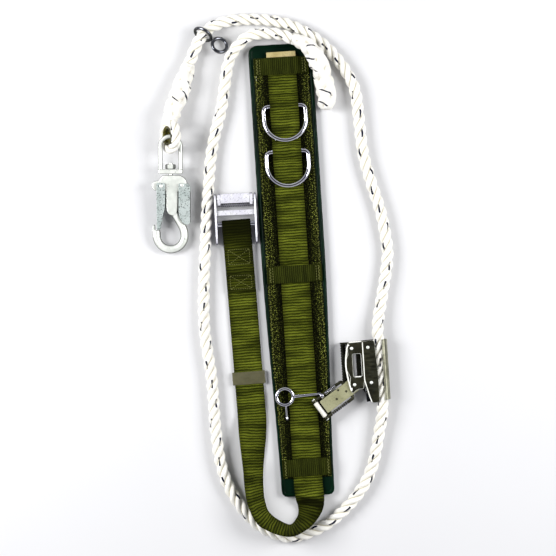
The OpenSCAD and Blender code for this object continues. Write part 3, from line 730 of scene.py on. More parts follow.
def pad_outline(inset):
    """Outline of the pad drawn in by the inset: tapered long sides, and quarter bends at the corners."""
    top = HALF_LENGTH - inset
    y_bend = 13
    y = np.linspace(-top, top, 60)
    right = np.stack([pad_half(y) - inset, y], -1)
    corners = np.vstack([right, right[::-1] * (-1, 1)])
    radius = np.full(len(corners), 0.5)
    radius[[59, 60]] = 13 - inset / 2
    radius[[0, -1]] = 7 - inset / 2
    keep = (np.abs(corners[:, 1]) < top - y_bend) | (np.abs(corners[:, 1]) > top - 0.01)
    return rounded(corners[keep], radius[keep], 6)


# share of the way from edge to spine, and height, from the middle of the back to the middle of the front
PAD_LEVELS = [
    (0.96, 0.6), (0.5, 0.5), (0.2, 0.6), (0.06, 1.0), (0.0, 3.0), (0.0, 5.2), (0.0, 7.2),
    (0.03, 8.6), (0.08, 9.1), (0.16, 9.5), (0.3, 9.7), (0.5, 9.8), (0.75, 9.85), (0.96, 9.85),
]


def pad_cushion():
    """Vinyl-faced foam: the outline drawn towards the spine by each level's share, at that level's height.

    The front rises steeply from the edge and then flattens, with small sine puckers beside the binding."""
    loop = around(pad_outline(3.0), 420)
    spine = np.stack([loop[:, 0] * 0, np.clip(loop[:, 1], -HALF_LENGTH + 42, HALF_LENGTH - 42)], -1)
    rows = []
    for share, z in PAD_LEVELS:
        flat = loop + (spine - loop) * share
        pucker = 0.25 * np.sin(flat[:, 0] * 0.9 + flat[:, 1] * 0.55) * (0.02 < share < 0.2) * (z > 5)
        rows.append(np.column_stack([flat, z + pucker]))
    return np.array(rows)


pad_nodes = ["pad_back", "pad_foam", "pad_front"]
cushion = build("pad_cushion", [grid_parts(pad_cushion())], "belt", VINYL, pad_nodes, sharp=180)


def edge_binding():
    """Folded edge tape: an oval section carried round the outline, with a sewn dent on its inner shoulder."""
    edge = pad_outline(3.6)
    loop, at = evenly(np.column_stack([edge, np.full(len(edge), 5.1)]), 3.0)
    _, side, _ = axes_along(loop, closed=True)
    outward = side * np.sign(np.sum(side[:, :2] * unit(loop[:, :2]), -1, keepdims=True).mean())
    a = np.arange(22) * 2 * np.pi / 22
    wrinkle = 1 + 0.03 * np.sin(at / 4.3) * np.sin(at / 31.0)
    x = 3.5 * np.sign(np.cos(a)) * np.abs(np.cos(a)) ** 0.75
    z = 5.0 * np.sign(np.sin(a)) * np.abs(np.sin(a)) ** 0.7
    z = np.where((x < -1.5) & (z > 0), z - 0.5, z)
    spread = (wrinkle[:, None] * x)[..., None] * outward[:, None]
    grid = loop[:, None] + spread + z[None, :, None] * np.array([0, 0, 1.0])
    return grid_parts(grid, round_rows=True, poles=False)


build("pad_edge_binding", [edge_binding()], "belt", BINDING, ["pad_binding"], sharp=180)


def facing_sheet():
    """Wide webbing sewn on the pad: a flat section whose half width follows the pad, lying on the face."""
    y = np.arange(-310.5, 318.6, 3.0)
    y[-1] = 318.5
    a, b = flat_section(41, 60)
    half = np.minimum(41, pad_half(y) - 3.5) - 0.25 + 0.22 * np.sin(y / 9.0)
    x = half[:, None] * a
    lift = 0.10 * np.sin(x / 7.0 + y[:, None] / 23.0) * (np.abs(a) > 0.62)
    z = FACE_Z + 1.0 + b * 0.92 + lift
    grid = np.stack([x, np.broadcast_to(y[:, None], x.shape), z], -1)
    u = np.append(a, a[0])[None] * np.append(half, half[-1])[:, None] * MM
    v = np.append(y, y[-1])[:, None] * MM + 0 * u
    return grid_parts(grid, uv=np.stack([u, v], -1))


build("facing_sheet", [facing_sheet()], "belt", FACING, ["facing_webbing"], sharp=60)

# ---------------------------------------------------------------- belt strap

STRAP_W = 43.0
STRAP_T = 2.2
STRAP_GAP = 0.2
D_BAR = 6.5
D_BAR_Z = STRAP_Z + D_BAR / 2 + 0.1
D_UPPER_Y = 245.0
D_LOWER_Y = 177.0
HUMP = D_BAR_Z + D_BAR / 2 + 0.8 - STRAP_Z


def strap_mid(y):
    """Height of the strap's middle: flat on the facing, eased up over each D-ring bar."""
    humps = sum(float(ease((18 - abs(y - bar)) / 15)) for bar in (D_UPPER_Y, D_LOWER_Y))
    return STRAP_Z + STRAP_GAP + STRAP_T / 2 + humps * HUMP


RUN_TURN = 1.0
RUN_X = -80.5
BAR_Y = 74.0
BAR_Z = 11.0
SLOPE = math.tan(math.radians(RUN_TURN))


def run_at(y, z):
    """Station of the free run at a place along it."""
    return (RUN_X - y * SLOPE, y, z, RUN_TURN - 180, 0)


bar_steps = (22, 18, 13, 9, 6, 3, 0, -3, -6, -9, -13, -18, -22)
pad_ys = [318, 300, 270] + [bar + s for bar in (D_UPPER_Y, D_LOWER_Y) for s in bar_steps]
pad_ys += [130, 60, -60, -180, -270, -312]
pad_run = [(0.8, y, strap_mid(y), 0, 0) for y in pad_ys]
loop_run = [
    (1, -327, 13.3, 0, 0), (2, -340, 14.6, 0, 6), (2, -352, 15.2, -12, 27), (-2, -364, 17.6, -30, 48),
    (-11, -376, 20, -52, 64), (-28, -386, 22.3, -88, 75), (-49, -380, 21.8, -122, 70),
    (-69, -365, 20.6, -148, 62), (-77.5, -344, 19.2, -166, 56), (-80, -320, 18.1, -176, 51),
    (-79.5, -290, 16.8, -179, 46), (-78.5, -262, 13.3, -179, 33), (-77.5, -240, 8.3, -179, 18),
    (-76.8, -222, 4.9, -179, 6),
]
LOOP_MID = 3.5 + STRAP_T / 2 + 1.2
bar_run = [run_at(y, 3.1) for y in (-207, -180, -100, -20, 30)] + [run_at(52, 4), run_at(64, 5.2)]
for turn in range(-75, 106, 30):
    c, s = math.cos(math.radians(turn)), math.sin(math.radians(turn))
    bar_run.append((RUN_X - BAR_Y * SLOPE, BAR_Y + LOOP_MID * c, BAR_Z + LOOP_MID * s, RUN_TURN - 180, 0))
bar_run += [run_at(62, 15.8), run_at(50, 10.6), run_at(36, 7.2), run_at(20, 5.8), run_at(-27, 5.7)]
belt_sheet = strap(pad_run + loop_run + bar_run, STRAP_W, STRAP_T, RIB_PITCH, 0.7, 0.12)
build("belt_strap_webbing", [belt_sheet], "belt", WEBBING, ["belt_strap"], sharp=70)


def keeper(name, node, y, half, shift):
    """Cross keeper: webbing laid across the belt strap, raised over it, sewn down by a zigzag at each end."""
    thick, gap, flat = 1.8, STRAP_T + STRAP_GAP + 0.1, STRAP_W / 2 + 2
    low, high = STRAP_Z + thick / 2, STRAP_Z + gap + thick / 2
    ramp = [(-half, low), (-flat - 8, low), (-flat - 5.5, low + 0.15)]
    ramp += [(-flat - 0.8, high - 0.1), (-flat + 2, high)]
    xs = ramp + [(0, high)] + [(-x, z) for x, z in reversed(ramp)]
    stations = [(x + shift, y, z, 90, 0) for x, z in xs]
    sheet = strap(stations, 26, thick, KEEPER_RIB_PITCH, 0.5, 0.2)
    build(name, [sheet], "belt", KEEPER_WEBBING, [node], sharp=70)
    z = STRAP_Z + thick + 0.05
    rows = []
    for side in (-1, 1):
        x = shift + side * (half - 4.6)
        rows += zigzag((x, y - 11, z), (x, y + 11, z), 1.6, 9)
        rows += seam([(x - side * 4.0, y - 11.5, z), (x - side * 4.0, y + 11.5, z)], 3.6, 2.6)
    build(name + "_seams", rows, "belt", THREAD, sharp=180)


keeper("top_keeper", "keeper_top", 305, 40.5, 0)
keeper("middle_keeper", "keeper_middle", -6, 41, 0.5)
keeper("bottom_keeper", "keeper_bottom", -295, 36.5, 0.5)


def run_seams():
    """Box stitches where the strap's returned end is sewn to the run: two boxes with crossed middles."""
    rows = []
    for y0, y1 in ((14, 36), (-23, -3)):
        box = [(-16, y0), (16, y0), (16, y1), (-16, y1), (-16, y0)]
        cross_a, cross_b = [(-16, y0), (16, y1)], [(-16, y1), (16, y0)]
        for shape in (box, cross_a, cross_b):
            corners = []
            for x, y in shape:
                z = 6.9 + 1.35 * ease((y - 19) / 15)
                corners.append((RUN_X - y * SLOPE + x, y, z))
            rows += seam(corners, 3.4, 2.4, 0.36)
    return rows


build("run_box_seams", run_seams(), "belt", THREAD, sharp=180)
facing_marks = seam([(-38.2, 312, 12.05), (-38.2, 284, 12.05)], 4.6, 3.2, 0.5)
build("facing_pale_stitches", facing_marks, "belt", PALE_THREAD, sharp=180)
side_rows = []
for side in (-1, 1):
    ys = np.linspace(-306, 314, 60)
    xs = side * (np.minimum(41, pad_half(ys) - 3.5) - 2.2)
    side_rows += seam(np.stack([xs, ys, np.full(60, 12.0)], -1), 4.4, 3.0, 0.32)
build("facing_side_seams", side_rows, "belt", THREAD, sharp=180)


# ---------------------------------------------------------------- metal and plastic paints


def metal_paint(
    name, colour, rough, grain=(300, 300, 300), depth=0.0, spots=0.0, dull=None, metal=1.0, rim=0.0,
    streak=None, rim_shade_tone="#2b2e2b",
):
    """Plated metal: roughness and tone vary by stretched noise; spots darken it in small patches.

    A streak is a dark tone along the grain, a painted reflection; a rim tone is painted shade that darkens
    sides, where the normal is less upright."""
    p = Paint(name, rgb(colour), rough, metal)
    where = p.stretch(p.place(), grain)
    fine = p.noise(where, 1.0, 3.0)
    broad = p.noise(p.place(), 60.0, 3.0)
    p.set("Roughness", p.grade(fine, 0.3, 0.7, rough * 0.7, min(1.0, rough * 1.4)))
    tone = p.mix(p.grade(broad, 0.35, 0.7), rgb(colour), rgb(dull or colour))
    if spots:
        speckle = p.noise(p.place(), 480.0, 2.0)
        tone = p.mix(p.grade(speckle, 0.55, 0.63, 0.0, spots), tone, rgb("#3c4440"))
    # painted reflection: dark streaks along the grain
    if streak:
        tone = p.mix(p.grade(fine, 0.42, 0.56), rgb(streak), tone)
    # painted shade: sides that lean away from upright are darkened towards the rim tone
    if rim:
        upright = p.math("ABSOLUTE", p.split(p.node("ShaderNodeTexCoord").outputs["Normal"])[2])
        tone = p.mix(p.grade(upright, 0.8, 0.45, 0.0, rim), tone, rgb(rim_shade_tone))
    p.set("Base Color", tone)
    if depth:
        p.bump(fine, depth, 0.6)
    return p.material


# SATIN, ZINC, GATE_ZINC and DULL_STEEL darken their sides with the rim: painted shade
CHROME = metal_paint("bright chrome", "#f1f2f8", 0.09, dull="#d3d2e2")
SATIN = metal_paint("bright plate", "#f4f4f8", 0.3, dull="#dcdae8", metal=0.35, rim=0.9, rim_shade_tone="#1e1a3c")
ZINC = metal_paint("bright zinc", "#f3f5ee", 0.35, (160, 160, 160), 0.0003, 0.0, "#dde2da", 0.4, 0.9)
GATE_ZINC = metal_paint("speckled zinc", "#c4cdca", 0.42, (500, 500, 500), 0.0002, 0.8, "#a5b1ae", 0.4, 0.9)
DARK_PLATE = metal_paint("olive grey plate", "#454434", 0.42, (90, 500, 90), 0.0001, 0.35, "#33322a")
# channel wall: its dark streaks along the grain are painted reflection
STREAKED = metal_paint(
    "channel with painted reflection streaks", "#c6c5ac", 0.35, (650, 7, 650), 0.0003, dull="#77765e", metal=0.5, streak="#0b0b06")
# painted highlight for the bent edges of the grab plates
EDGE_HIGHLIGHT = metal_paint("plate edge highlight", "#fbfbf6", 0.4, dull="#e6e6dc", metal=0.1)
# black for the grab spine, and for pieces that stand for shade
DARK_SPINE_AND_SHADE = metal_paint("black spine and painted shade", "#23231d", 0.4, (300, 300, 300), 0.0002, 0.3, "#15150f")
DULL_STEEL = metal_paint(
    "dark polished steel", "#85878e", 0.12, (400, 400, 400), 0.0004, dull="#3c3d43", rim=1.0)
KHAKI = metal_paint("khaki plate", "#a9a885", 0.5, (120, 120, 120), 0.0002, 0.25, "#8f8e6c", 0.35)
KEEPER_KHAKI = metal_paint("khaki band", "#565338", 0.5, (160, 500, 160), 0.0002, 0.2, "#48452c", 0.2)
TIP_KHAKI = metal_paint("pale strap tip", "#b7a877", 0.55, (200, 900, 200), 0.0002, 0.2, "#a1925f", 0.1)
THIMBLE = metal_paint("olive thimble", "#6a6426", 0.25, (200, 200, 200), 0.0002, 0.6, "#35330f", 0.8)
ROLLER = metal_paint("white roller", "#e9e7dd", 0.4, (200, 200, 200), 0.0001, 0.2, "#d5d2c4", 0.0)

SIDEWAYS = np.array([[0, 0, 1.0], [1, 0, 0], [0, 1, 0]])


def prism(outline, low, high, place=ROW):
    """Flat piece of any outline: one many-sided face above, one below, and a wall of quads between."""
    outline = np.asarray(outline, float)
    n = len(outline)
    i, j = np.arange(n), (np.arange(n) + 1) % n
    points = np.concatenate([np.column_stack([outline, np.full(n, z)]) for z in (low, high)])
    blocks = [i[None, ::-1], (i + n)[None], np.stack([i, j, j + n, i + n], -1)]
    return place.put(points), blocks, [np.zeros((*b.shape, 2)) for b in blocks]


def soften(piece, width, segments=3, angle=35):
    """Rounded edges by a bevel."""
    bevel = piece.modifiers.new("rounded edges", "BEVEL")
    bevel.width = width * MM
    bevel.segments = segments
    bevel.limit_method = "ANGLE"
    bevel.angle_limit = math.radians(angle)
    bevel.use_clamp_overlap = True
    bevel.harden_normals = False
    return piece


def cut_plate(name, outline, low, high, place, body, material, nodes, width, segments=3):
    """Plate of one outline and even thickness, with softened edges."""
    piece = build(name, [prism(outline, low, high, place)], body, material, nodes)
    return soften(piece, width, segments)


def curved_sheet(name, grid, thick, body, material, nodes, edge=0.4):
    """Open sheet of points given a thickness on both sides, with softened edges."""
    points, blocks, maps = grid_parts(grid, round_cols=False, poles=False)
    piece = mesh_piece(name, points, blocks, body, material, nodes, maps, 180)
    wall = piece.modifiers.new("sheet thickness", "SOLIDIFY")
    wall.thickness = thick * MM
    wall.offset = 0
    return soften(piece, edge, 2, 50)


FACE_LEVEL = 0.93


def brighten_edges(piece, material):
    """Gives the sides and bends of a flat-lying plate, whose normals lean away from Z, a second material that
    paints a highlight.
    """
    piece.data.materials.append(material)
    count = len(piece.data.polygons)
    normals = np.zeros(count * 3)
    piece.data.polygons.foreach_get("normal", normals)
    upright = np.abs(normals.reshape(-1, 3)[:, 2])
    piece.data.polygons.foreach_set("material_index", (upright < FACE_LEVEL).astype(np.int32))


def bent_bar(line, radius, place, closed=False, sides=20):
    """Round bar bent along a line stated in a place's frame."""
    line = np.asarray(line, float)
    if closed:
        line = np.vstack([line, line[:1]])
    line, _ = evenly(line, 1.0)
    if closed:
        line = line[:-1]
    return tube(place.put(line), radius, sides, closed, place.turn[:, 2])


def rivet(spot, low, high, radius, place, head=1.2):
    """Pin with a domed head at each end: the head's radius falls along a quarter ellipse."""
    a = np.radians(np.linspace(80, 0, 6))
    cap = np.stack([radius * head * np.cos(a), high - 1.1 + 1.1 * np.sin(a)], -1)
    foot = np.stack([radius * head * np.cos(a[::-1]), low + 1.1 - 1.1 * np.sin(a[::-1])], -1)
    profile = np.vstack([cap, [(radius, high - 1.1), (radius, low + 1.1)], foot])
    return turned(profile, place.inside((spot[0], spot[1], 0)), 28)


# ---------------------------------------------------------------- rope splices


def set_hollow(piece, values):
    """Stores how deep each point lies between strands, from 0 on a crest to 1 in a groove."""
    attribute = piece.data.attributes.new("hollow", "FLOAT", "POINT")
    attribute.data.foreach_set("value", np.asarray(values, np.float32))


SPLICE_SIDES = 54
STEEP_LAY = 66
SLOW_LAY = 118


def spliced_rope(line):
    """Rope with its strands tucked back: two sets of round strands wound opposite ways, over and under.

    Each direction's radius is the higher of the two sets, one lowered a little where it dives under."""
    _, side, rise = axes_along(line[:, :3])
    s = length_along(line)[:, None]
    angle = (np.arange(SPLICE_SIDES) * 2 * np.pi / SPLICE_SIDES)[None]
    first = strand_wave(angle - 2 * np.pi * s / STEEP_LAY)
    second = strand_wave(angle + 2 * np.pi * s / SLOW_LAY + 0.7)
    over = 0.5 + 0.5 * np.sin(3 * angle + s / 7.5)
    shape = np.maximum(first - 0.15 * over, second - 0.15 * (1 - over)) + 0.06
    r = line[:, 3:4] * shape
    grid = line[:, None, :3] + r[..., None] * ring_about(angle, side, rise)
    hollow = np.clip((0.9 - shape) / 0.36, 0, 1).ravel()
    return grid_parts(grid, uv=rope_map(SPLICE_SIDES, s)), np.append(hollow, [0, 0])


HOOK = Place((-174.5, 152.5, 18.5), turn_z(-3.7) @ turn_x(6.1))
EYE = HOOK.inside((0, 58.5, 0), turn_y(-60))
EYE_ROPE_R = 7.5
EYE_R = 9.9 + 2.3 + EYE_ROPE_R
EYE_STEPS = 120
END_R = 14.0
END_DOME = 13
end_stations = [
    (19, 343.5, 20.6, 9.2), (28.2, 340.1, 20.9, 10), (40, 331, 24, 12.6), (49.7, 318.5, 26.6, 13.7),
    (56.5, 302, 25, 14), (61.5, 283, 19.5, 14), (64, 265, 15.2, 14.2), (64.5, 250, 14.2, 13.8),
    (64.2, 240, 14.2, 11), (64, 234.5, 14.2, 6),
]
splice_stations = [
    (-169.4, 232, 26.2, 11.5), (-168, 240, 24.6, 13), (-164, 250, 21, 13.8), (-158.5, 262, 16.6, 14),
    (-151.5, 279, 14.3, 14), (-144, 298, 13.4, 12.6), (-138.9, 312, 11, 10), (-136, 318, 11.5, 9.2),
]
end_line, _ = evenly(curve_through(end_stations), 1.2)
left = np.linalg.norm(end_line[:, :3] - end_line[-1, :3], axis=1)
dome = END_R * np.sqrt(np.clip(1 - (1 - left / END_DOME) ** 2, 0.002, 1))
end_line[:, 3] = np.where(left < END_DOME, dome, end_line[:, 3])
parts, hollow = spliced_rope(end_line)
end_piece = build("end_splice_strands", [parts], "belt", ROPE, ["end_splice"], sharp=180)
set_hollow(end_piece, hollow)
splice_line, _ = evenly(curve_through(splice_stations), 1.2)
parts, hollow = spliced_rope(splice_line)
a = np.linspace(0, 2 * np.pi, EYE_STEPS, endpoint=False)
eye_line = EYE.put(np.stack([EYE_R * np.cos(a), EYE_R * np.sin(a), 0 * a], -1))
phase = np.arange(ROPE_SIDES) * 2 * np.pi / ROPE_SIDES
angle = phase[None] + 3 * a[:, None]
_, side, rise = axes_along(eye_line, EYE.turn[:, 2], True)
radius = EYE_ROPE_R * strand_wave(phase)[None, :, None]
eye_grid = eye_line[:, None] + radius * ring_about(angle, side, rise)
u, v = np.meshgrid(np.arange(ROPE_SIDES + 1) / ROPE_SIDES, np.arange(EYE_STEPS + 1) / EYE_STEPS * 0.1238)
eye_parts = grid_parts(eye_grid, round_rows=True, poles=False, uv=np.stack([u, v], -1))
eye_piece = build("eye_splice_strands", [parts, eye_parts], "belt", ROPE, ["eye_splice"], sharp=180)


def laid_hollow(phase, rows):
    """The same depth as a share: one where two strands meet, zero on a strand's crest."""
    wave = strand_wave(phase)
    depth = np.clip((0.86 - wave) / 0.3, 0, 1)
    return np.broadcast_to(depth, (rows, len(phase))).ravel()


set_hollow(eye_piece, np.concatenate([hollow, laid_hollow(phase, EYE_STEPS)]))
set_hollow(rope, np.append(laid_hollow(phase, len(rope_line)), [0, 0]))

# thimble: a grooved ring whose groove fits the rope
t = np.radians(np.linspace(140, 220, 12))
groove = np.stack([EYE_R + 7.7 * np.cos(t), 7.7 * np.sin(t)], -1)
half_lip = [(14.4, 5.9), (13.2, 6.2), (11.2, 5.6), (10.1, 4.2), (9.9, 2)]
lip = half_lip + [(9.9, 0)] + [(r, -z) for r, z in reversed(half_lip)]
section = np.vstack([groove, np.array(lip)[::-1]])
a = (np.arange(72) * 2 * np.pi / 72)[:, None]
ring_grid = np.stack([section[:, 0] * np.cos(a), section[:, 0] * np.sin(a), section[:, 1] + 0 * a], -1)
thimble = grid_parts(EYE.put(ring_grid), round_rows=True, poles=False)
build("thimble_ring", [thimble], "belt", THIMBLE, ["thimble"], sharp=60)

# ---------------------------------------------------------------- snap hook

bail_line = np.vstack([
    [(-15, 5, 0), (-15, 42.3, 0)], arc_line((0, 42.3, 0), 15, 180, 0, 30)[1:-1], [(15, 42.3, 0), (15, 5, 0)]])
build("swivel_bail_bar", [bent_bar(bail_line, 3.25, HOOK)], "bail", ZINC, ["swivel_bail"], sharp=60)
block = rounded([(-18.2, 2), (18.2, 2), (18.2, 9), (-18.2, 9)], 2.4)
cut_plate("swivel_bail_foot", block, -5, 5, HOOK, "bail", ZINC, [], 1.6)
UP_SHANK = HOOK.inside((0, 0, 0), turn_x(-90))
stud = [(2.6, 0), (3.4, 0.4), (3.5, 9), (3.5, 17.6), (3.0, 18.2)]
nut = [(6.4, 9.4), (7.6, 10.1), (7.9, 10.6), (7.9, 15.0), (7.5, 15.6), (6.2, 16.3), (3.8, 16.3)]
swivel = [turned(stud, UP_SHANK, 32), turned(nut, UP_SHANK, 6)]
build("swivel_stud_and_nut", swivel, "hook", ZINC, ["swivel_nut"], sharp=25)

head = rounded(
    [(-12, 0), (15, 0), (22, -5), (25, -12), (22.5, -22), (11.5, -24), (11.0, -50), (8, -62), (-4, -58),
        (-7, -50), (-7, -24), (-14, -22), (-24, -23), (-28, -19), (-28, -12), (-24, -9), (-17, -8)],
    [3, 4, 3, 4, 3, 2, 8, 5, 5, 6, 2, 2, 2, 3, 3, 2, 3])
cut_plate("hook_head", head, -5.6, 5.6, HOOK, "hook", ZINC, ["hook_body"], 2.2, 4)
shank = [(20.3, -90, 0), (19.4, -83, 0), (15.8, -74, 0), (10.5, -65, 0), (6, -57, 0), (3, -48, 0)]
bow = np.vstack([
    [(-21.3, -82.5, 0), (-21.3, -86, 0)], arc_line((-0.5, -90, 0), 20.8, 180, 360, 60),
    curve_through(shank)[1:]])
bow, bow_at = evenly(bow, 0.8)
share = bow_at / bow_at[-1]
bow_radius = 6.0 - 0.5 * (share < 0.02) - 0.4 * ease((share - 0.75) / 0.25)
bow_bar = tube(HOOK.put(bow), bow_radius, 28, up=HOOK.turn[:, 2], flat=0.97)
build("hook_bow", [bow_bar], "hook", ZINC, sharp=60)
nose = rounded([(-26.8, -93), (-23.4, -93), (-23.4, -74.4), (-26.8, -74.4)], 1.2)
cut_plate("hook_nose_latch", nose, -4, 4, HOOK, "hook", ZINC, [], 0.8)


def pressed_channel(name, body, node, outline, back, radii):
    """Gate or lever: two cheeks of one rounded outline joined by a back wall."""
    sheet = rounded(outline, radii)
    parts = [prism(sheet, z, z + 1.8, HOOK) for z in (6.8, -8.6)]
    piece = build(name, parts + [prism(back, -7.2, 7.2, HOOK)], body, GATE_ZINC, [node])
    soften(piece, 0.55, 3)


pressed_channel("hook_gate_cheeks", "gate", "hook_gate",
    [(-20.5, -11), (-8, -11), (-8, -49), (-13, -66), (-15.6, -81), (-20.5, -81)],
    [(-20.5, -29), (-18.4, -29), (-18.4, -80), (-20.5, -80)], [2.5, 2.5, 6, 6, 2, 2])
pressed_channel("hook_lever_cheeks", "lock_lever", "hook_lever",
    [(12.3, -12), (26.5, -12), (29.2, -17), (29.2, -72), (24, -74), (18, -71), (12.3, -60)],
    [(29.2, -25), (27.3, -25), (27.3, -70), (29.2, -70)], [2, 3, 3, 4, 3, 4, 6])
for name, spot in (("gate", (-13.5, -16)), ("lever", (17.5, -15))):
    pin = rivet(spot, -9.3, 9.3, 2, HOOK, 1.35)
    build("hook_" + name + "_rivet", [pin], "hook", ZINC, ["hook_" + name + "_pin"])

# ---------------------------------------------------------------- figure-eight ring

RING = Place((-113, 359, 15), turn_z(54) @ turn_x(8) @ turn_y(25))
ROUND_R = 13.2
FREE_R = 11.2
FREE_Y = -ROUND_R - FREE_R - 4.8
round_loop = arc_line((0, 0, 0), ROUND_R, 0, 360, 96, (0, 1, 0), (0, 0, 1))[:-1]
free_loop = arc_line((0, FREE_Y, 0), FREE_R, 0, 360, 96)[:-1]
loop_a = tube(RING.put(round_loop), 2.4, 20, True, RING.turn[:, 0])
loop_b = tube(RING.put(free_loop), 2.5, 20, True, RING.turn[:, 2])
neck, neck_at = evenly(np.array([(0, -13.5, 0), (0, -17.7, 0)], float), 0.3)
neck_radius = 2.2 + 0.9 * (np.abs(neck_at / neck_at[-1] - 0.5) * 2) ** 2
loop_c = tube(RING.put(neck), neck_radius, 20, up=RING.turn[:, 2])
loops = [loop_a, loop_b, loop_c]
build("eight_ring_loops", loops, "ring", DULL_STEEL, ["eight_ring"], sharp=70)

# ---------------------------------------------------------------- D-rings


def d_ring(name, node, body, y):
    """D-ring: bar bent round two small corners and one wide bow, closed under the strap."""
    arm, corner, bow_y = 31.0, 7.0, -20.5
    line = np.vstack([
        [(-arm + corner, 0, 0)], arc_line((arm - corner, -corner, 0), corner, 90, 0, 10),
        arc_line((0, bow_y, 0), arm, 0, -180, 60),
        arc_line((-arm + corner, -corner, 0), corner, 180, 90, 10)[:-1]])
    place = Place((0.8, y, D_BAR_Z), turn_x(-3.8))
    build(name, [bent_bar(line, D_BAR / 2, place, True, 24)], body, CHROME, [node], sharp=180)


d_ring("upper_d_ring_bar", "d_ring_upper", "upper_d_ring", D_UPPER_Y)
d_ring("lower_d_ring_bar", "d_ring_lower", "lower_d_ring", D_LOWER_Y)

# ---------------------------------------------------------------- buckle

BUCKLE = Place((RUN_X - BAR_Y * SLOPE, BAR_Y, BAR_Z), turn_z(-1))
HALF_W = 31.0
ACROSS = turn_y(90)
SIDE_PLATE = 2.8
side_shape = rounded(
    [(-30, -4.5), (-28.2, -8.7), (-24, -10.5), (36, -8.5), (43.5, -5.4), (46.4, 2), (43.5, 9.4),
        (36, 12.4), (30, 12.2), (23, 11.5), (11, 11), (-22, 9.5), (-28, 7), (-30.5, 1)],
    [3, 3, 3, 5, 5, 5, 5, 4, 3, 3, 8, 4, 4, 3])
edgewise = BUCKLE.inside((0, 0, 0), SIDEWAYS)
for name, x in (("buckle_side_left", -HALF_W), ("buckle_side_right", HALF_W - SIDE_PLATE)):
    cut_plate(
        name + "_plate", side_shape, x, x + SIDE_PLATE, edgewise, "buckle", SATIN, [name], 0.8)
for name, node, y, z, radius in (
    ("buckle_strap_pin", "buckle_strap_bar", 0, 0, 3.5), ("buckle_hinge_pin", "buckle_cam_pin", 36, 2, 3.0),
):
    bar = round_bar(BUCKLE.put([(-31.3, y, z), (31.3, y, z)]), radius, 28)
    build(name, [bar], "buckle", CHROME, [node], sharp=60)
flat_bar = rounded([(-31.2, 13), (31.2, 13), (31.2, 20.8), (-31.2, 20.8)], 1.0)
cut_plate(
    "buckle_cross_bar", flat_bar, 4.4, 7.6, BUCKLE, "buckle", SATIN, ["buckle_flat_bar"], 1.0, 4)
CAM = BUCKLE.inside((0, 36, 2))
drum = turned([(5.6, -26), (6.5, -25.2), (6.5, 25.2), (5.6, 26)], CAM.inside((0, 0, 0), ACROSS), 40)
cheek = rounded([(-6, -3), (-10, 4), (-7, 9), (7, 9), (10.5, 4), (6, -4)], 2)
cheeks = [prism(cheek, x, x + 4.2, CAM.inside((0, 0, 0), SIDEWAYS)) for x in (-26, 21.8)]
tooth = [(0, 0), (5, 1.5), (5, 6), (1.2, 3)]
teeth = []
for n in range(15):
    x = -21 + n * 2.8
    teeth.append(prism(tooth, x, x + 1.75, CAM.inside((0, -10, -3), SIDEWAYS)))
# the drum is black as painted shade, for the gap between the teeth and the flat bar
build("buckle_cam_drum", [drum], "cam", DARK_SPINE_AND_SHADE, ["buckle_cam"], sharp=60)
soften(build("buckle_cam_cheeks", cheeks + teeth, "cam", SATIN), 0.3, 2)
a = np.radians(np.linspace(57, 108, 21))[:, None]
COVER_HALF = 21.4
x = np.linspace(-COVER_HALF, COVER_HALF, 40)[None]
crown = 16.1 + 0.35 * (1 - (x / COVER_HALF) ** 2)
cover = np.stack([x + 0 * a, crown * np.cos(a), crown * np.sin(a) - 7], -1)
curved_sheet("buckle_cover_plate", CAM.put(cover), 1.7, "cam", SATIN, ["buckle_cover"], 0.5)

# ---------------------------------------------------------------- strap tip and sliding keeper

tip = rounded([(-21.8, 318.1), (21.8, 318.1), (21.8, 326), (-21.8, 326)], 1.0)
cut_plate("strap_tip_crimp", tip + (0.8, 0), STRAP_Z + 0.05, STRAP_Z + 3.8, ROW, "belt", TIP_KHAKI,
    ["strap_tip"], 0.7)
outer = rounded([(-24.5, 0.25), (24.5, 0.25), (24.5, 6.05), (-24.5, 6.05)], 1.6, 6)
inner = rounded([(-23, 1.7), (23, 1.7), (23, 4.6), (-23, 4.6)], 0.5, 6)
RUN = Place((RUN_X, 0, 0), turn_z(RUN_TURN))
KEEPER_Y = -157


def band_row(loop, y):
    """Loop of x and z at a place along the strap."""
    return np.column_stack([loop[:, 0], np.full(len(loop), y), loop[:, 1]])


def toward(loop, other, share):
    """Loop moved a share of the way to the other."""
    return loop + (other - loop) * share


band = []
for y, share in ((-9.5, 0.3), (-9.1, 0.05), (-8.6, 0), (0, 0), (8.6, 0), (9.1, 0.05), (9.5, 0.3)):
    band.append(band_row(toward(outer, inner, share), y + KEEPER_Y))
for y in (9.5, 0, -9.5):
    band.append(band_row(toward(outer, inner, 1.0 if abs(y) < 9 else 0.7), y + KEEPER_Y))
band = grid_parts(RUN.put(np.array(band)), round_rows=True, poles=False)
build("slide_keeper_band", [band], "sliding_keeper", KEEPER_KHAKI, ["slide_keeper"], sharp=40)

# ---------------------------------------------------------------- rope grab

